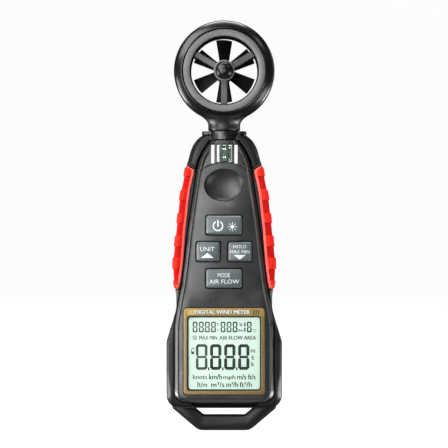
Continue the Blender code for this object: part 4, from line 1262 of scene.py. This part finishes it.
# ---- keys ----------------------------------------------------------------------------------------
def build_keys():
    """Bevelled caps over a dark hidden lip, each with the legend printed on it."""
    for key in KEYS:
        low, top = node_box(key)
        outline = rounded(size_of(key).x / 2 - KEY_LIP, low.z + KEY_LIP, top.z - KEY_LIP,
                          KEY_CORNER, 6, middle_of(key)[0])
        front, lip = low.y + PRINT_DEPTH, top.y - 0.9
        cap = prism(key.replace("key_", "key_cap_"), outline,
                    [(front, 0.85), (front + 0.05, 0.7), (front + 0.55, 0.12), (front + 0.7, 0.03),
                     (front + 0.9, 0.0), (lip, 0.0), (lip, -KEY_LIP), (top.y, -KEY_LIP)],
                    LOOKS["key"])
        repaint(cap, ["housing"], lambda p: p.y > front + 0.95)
        settle(shade(cap, 24), key, "key_grey", key)

    ink, y = LOOKS["white_ink"], node_box("key_power")[0].y
    ring = arc(2.32, 118, 422, 36, (-2.75, 90.55)) + arc(1.76, 422, 118, 36, (-2.75, 90.55))
    hub = Vector((3.6, 90.2))
    rays = [circle(*hub, 0.85)]
    for a in full_turn(8):
        out = Vector((math.cos(a), math.sin(a)))
        side = Vector((-math.sin(a), math.cos(a))) * 0.17
        rays.append([tuple(hub + out * 1.2 - side), tuple(hub + out * 2.0 - side),
                     tuple(hub + out * 2.0 + side), tuple(hub + out * 1.2 + side)])
    power = printed("legend_power", [ring, bar(-3.05, -2.45, 90.2, 93.1)] + rays, y, ink)
    settle(power, "key_power", "white_plastic")

    up = [(-10.2, 76.5), (-4.7, 76.5), (-7.45, 78.75)]
    down = [(6.8, 75.75), (9.45, 77.8), (4.15, 77.8)]
    legends = {"unit": ([("UNIT", -10.5, -4.3, 79.4, 81.3)], [up]),
               "hold": ([("HOLD", 4.0, 9.7, 80.75, 82.2),
                         ("MAX MIN", 2.6, 11.1, 78.45, 79.9)], [down]),
               "mode": ([("MODE", -2.9, 2.5, 68.0, 69.8),
                         ("AIR FLOW", -6.6, 6.6, 65.2, 67.0)], [])}
    for key, (rows, arrows) in legends.items():
        parts = [lettering(f"tool_legend_{i}", *row, y, ink) for i, row in enumerate(rows)]
        parts += [printed("tool_arrow_mark", [arrow], y, ink) for arrow in arrows]
        settle(gather(f"legend_{key}", parts), f"key_{key}", "white_plastic")


# ---- back, battery door, screws and the parts inside ---------------------------------------------
def build_battery_door():
    """The sliding door: tongues, a soft-edged face, thumb grooves, an arrow and a border line."""
    low, top = node_box("battery_door")
    tongue, face = top.x, top.x - 1.0
    door = block("cell_cover", (-tongue, low.y, low.z), (tongue, low.y + 0.9, top.z), LOOKS["door"])
    join(door, prism("tool_cover", rounded(face, low.z, top.z, 0.5, 4),
                     [(low.y + 0.5, 0), (top.y - 0.45, 0), (top.y - 0.15, 0.12), (top.y, 0.42)]))
    for i in range(5):
        z, half = 24.0 + 2.2 * i, 7.0 - 0.6 * i
        cut(door, prism(f"tool_thumb_{i}", rounded(half, z, z + 1.0, 0.45, 4),
                        [(14.4, 0.15), (14.6, 0), (15.0, 0), (15.3, -0.3)]))
    arrow = [(0.0, 36.0), (2.4, 38.6), (1.0, 38.6), (1.0, 41.2), (-1.0, 41.2), (-1.0, 38.6),
             (-2.4, 38.6)]
    cut(door, prism("tool_arrow", arrow, [(14.7, 0), (15.4, 0)]))
    border = prism("tool_border", rounded(14.6, 18.0, 63.2, 2.0, 6), [(14.75, 0), (15.4, 0)])
    cut(border, prism("tool_border_core", rounded(14.0, 18.6, 62.6, 1.5, 6), [(14, 0), (16, 0)]))
    settle(shade(cut(door, border), 30), "battery_door", "black_plastic", "battery_door")


def build_screws():
    """Pan-head screws with a cross recess, seen down their holes in the back."""
    for name in numbered("case_screw"):
        low, top = node_box(name)
        (x, z), seat = middle_of(name), top.y - 1.6
        profile = [(0, low.y), (0.5, low.y), (1.05, low.y + 1.0), (1.05, seat), (2.1, seat),
                   (2.1, seat + 0.9), (1.95, seat + 1.2), (1.5, seat + 1.48), (0.8, seat + 1.58),
                   (0, top.y)]
        screw = turned(name.replace("case_", "cross_"), profile, 40, LOOKS["steel"], (x, 0, z))
        for wide, tall in ((1.25, 0.24), (0.24, 1.25)):
            cut(screw, prism(f"tool_cross_{wide}", bar(x - wide, x + wide, z - tall, z + tall),
                             [(seat + 0.6, 0.12), (top.y + 1, 0)]))
        settle(shade(screw, 30), "root", "steel", name)


def build_sensor():
    """The air sensor's board behind the vents, with its chip, pads and small parts."""
    low, top = node_box("sensor_pcb")
    board = block("sensor_board", tuple(low), tuple(top), LOOKS["board"])
    for i, (x, z) in enumerate(((low.x + 0.8, top.z - 0.9), (top.x - 0.8, top.z - 0.9),
                                (top.x - 0.8, low.z + 0.8))):
        cut(board, rod(f"tool_board_hole_{i}", 0.35, (x, -4, z), (x, 0, z), 20))
    settle(shade(board, 30), "root", "pcb_green", "sensor_pcb")

    low, top = node_box("air_sensor")
    middle = (low + top) / 2
    chip = prism("sensor_chip", rounded((top.x - low.x) / 2, low.z, top.z, 0.2, 3, middle.x),
                 [(low.y, 0.2), (low.y + 0.12, 0), (top.y, 0)], LOOKS["chip"])
    cut(chip, rod("tool_port", 0.5, (middle.x, -5, middle.z), (middle.x, -3.5, middle.z), 24))
    settle(shade(chip, 30), "root", "chip_black", "air_sensor")

    face = node_box("sensor_pcb")[0].y - 0.03
    pads = [block(f"tool_pad_{x}_{z}", (x - 0.28, face - 0.12, z - 0.35),
                  (x + 0.28, face, z + 0.35))
            for x in (-0.45, 0.5, 1.45) for z in (121.0, 124.75)]
    parts = [block(f"tool_part_{z}", (x - 0.24, face - 0.5, z - 0.4), (x + 0.24, face, z + 0.4))
             for x, z in ((2.45, 124.3), (2.45, 122.4), (-1.5, 123.6), (-1.5, 120.6), (2.4, 120.4))]
    settle(gather("sensor_pads", pads, LOOKS["steel"]), "root", "steel")
    settle(gather("sensor_parts", parts, LOOKS["white"]), "root", "white_plastic")


def build_cells():
    """Cells with a rolled rim; the second one stands the other way up."""
    for name in numbered("battery_cell"):
        low, top = node_box(name)
        centre, radius, length = (low + top) / 2, (top.x - low.x) / 2, top.z - low.z
        up = -1 if name.endswith("2") else 1
        profile = [(0, 0), (3.9, 0), (4.1, 0.15), (4.5, 0.15), (radius - 0.25, 0.25), (radius, 0.7),
                   (radius, length - 1.5), (radius - 0.2, length - 1.15), (4.5, length - 0.95),
                   (3.0, length - 0.95), (2.0, length - 0.9), (1.9, length - 0.25), (1.6, length),
                   (0, length)]
        rows = [(r, up * (h - length / 2)) for r, h in profile]
        cell = turned(name.replace("battery_", "power_"), rows, 64, LOOKS["cell"], centre, "Z")
        settle(cell, "root", "cell_jacket", name)


# The look each of the frame's slots gets.
SLOT_LOOKS = {
    "black_plastic": "housing", "grey_plastic": "panel", "gloss_black": "gloss",
    "guard_grey": "guard", "blade_black": "blade", "red_rubber": "grip", "key_grey": "key",
    "gold_trim": "gold", "clear_lens": "window", "lcd_green": "green", "white_plastic": "white",
    "zebra_rubber": "zebra", "pcb_green": "board", "chip_black": "chip", "switch_metal": "steel",
    "steel": "steel", "bearing_brass": "brass", "cell_jacket": "cell", "cable_black": "cable"}


def finish_inner_parts():
    """Parts inside the housing keep the frame's shape and get real finishes."""
    for node in frame["nodes"].values():
        if node.hide_render:
            continue
        slots = [entry.name.split(".")[0] for entry in node.data.materials if entry]
        node.data.materials.clear()
        node.data.materials.append(LOOKS[SLOT_LOOKS[slots[0]]])
        shade(node)


# ---- stage, light and camera: the lights are placed in metres ------------------------------------
LENS, SENSOR_WIDTH = 190.0, 36.0
VIEW_WIDTH, VIEW_MIDDLE, FRONT_PLANE = 198.2, 91.4, 8.0  # millimetres
AIM = 0.095
# name, azimuth, elevation, distance, width, height, radiance, aimed height
SOFTBOXES = [
    ("key_softbox", -50, 38, 1.3, 0.8, 0.8, 10.0, AIM),
    ("front_softbox", -27, 4, 1.5, 0.75, 1.1, 9.0, AIM),
    ("high_softbox", -14, 36, 1.2, 0.5, 0.3, 7.0, AIM),
    ("top_softbox", 0, 98, 0.9, 0.7, 0.6, 14.0, AIM),
    ("left_strip", -78, 0, 0.32, 0.14, 0.20, 13.5, 0.018),
    ("right_strip", 118, 10, 1.2, 0.2, 1.0, 4.0, AIM),
    ("low_left_card", -100, -24, 0.8, 0.4, 0.25, 22.0, AIM),
    ("low_side_card", 100, -24, 0.8, 0.4, 0.25, 26.0, AIM),
    ("low_right_card", 57, -22, 0.8, 0.28, 0.22, 12.0, AIM),
    ("upper_right_card", 50, 38, 1.0, 0.2, 0.2, 5.0, AIM),
    ("floor_bounce", 0, -72, 0.6, 0.5, 0.3, 1.2, AIM),
    ("neck_card", 0, 0, 0.25, 0.035, 0.02, 40.0, 0.145)]


def studio_bowl():
    """A pale floor that sweeps up into a round wall on every side."""
    look = Look("studio_paper", (0.13, 0.13, 0.13), 0.9, Emission_Strength=0.94)
    look.shader.inputs["Emission Color"].default_value = (1.0, 1.0, 1.0, 1.0)
    look.relief((look.noise(900.0, 2.0), 0.05, 1.0))
    profile = [(1.0, -0.3), (2400, -0.3)]
    profile += [(2400 + 900 * math.sin(a), 899.7 - 900 * math.cos(a))
                for a in np.linspace(0.1, 1.57, 14)]
    profile += [(3300, 3400), (1.0, 4200)]
    rings = [[(radius * math.cos(a), radius * math.sin(a), z) for a in full_turn(96)]
             for radius, z in profile]
    bowl = skin("studio_floor", rings, look.material)
    bowl.visible_glossy = bowl.visible_diffuse = bowl.visible_shadow = False


def softbox(name, azimuth, elevation, distance, width, height, radiance, aim):
    """A rectangular light that faces the meter; azimuth 0 is in front of the display."""
    data = bpy.data.lights.new(name, "AREA")
    data.shape, data.size, data.size_y = "RECTANGLE", width, height
    data.energy = radiance * math.pi * width * height
    lamp = add_object(name, data)
    a, e = math.radians(azimuth), math.radians(elevation)
    back = Vector((math.sin(a) * math.cos(e), -math.cos(a) * math.cos(e), math.sin(e)))
    lamp.location = Vector((0, 0, aim)) + back * distance
    lamp.rotation_mode = "QUATERNION"
    lamp.rotation_quaternion = back.to_track_quat("Z", "Y")
    lamp.visible_camera = False


def build_studio():
    """The bowl, the lights, a dim world and the camera in front of the display."""
    studio_bowl()
    for entry in SOFTBOXES:
        softbox(*entry)
    world = bpy.data.worlds.new("studio_air")
    world.use_nodes = True
    world.node_tree.nodes["Background"].inputs["Color"].default_value = (0.04, 0.04, 0.04, 1.0)
    bpy.context.scene.world = world
    bpy.context.scene.view_settings.view_transform = "Standard"

    data = bpy.data.cameras.new("front_camera")
    data.lens, data.sensor_width = LENS, SENSOR_WIDTH
    camera = add_object("front_camera", data)
    back = FRONT_PLANE + VIEW_WIDTH * LENS / SENSOR_WIDTH
    camera.location = (-0.1 * MM, -back * MM, VIEW_MIDDLE * MM)
    camera.rotation_euler = (math.radians(90), 0, 0)
    bpy.context.scene.camera = camera


build_rear_housing()
build_front_panel()
build_grips()
build_bezel()
build_lens()
build_crystal()
build_keys()
build_collar()
build_head_housing()
for word, side in (("front", -1), ("rear", 1)):
    build_guard(f"{word}_grille", f"{word}_guard", side)
    build_hub_cap(f"{word}_dome", f"{word}_hub_cap", side)
build_impeller()
build_battery_door()
build_screws()
build_sensor()
build_cells()
finish_inner_parts()
build_studio()
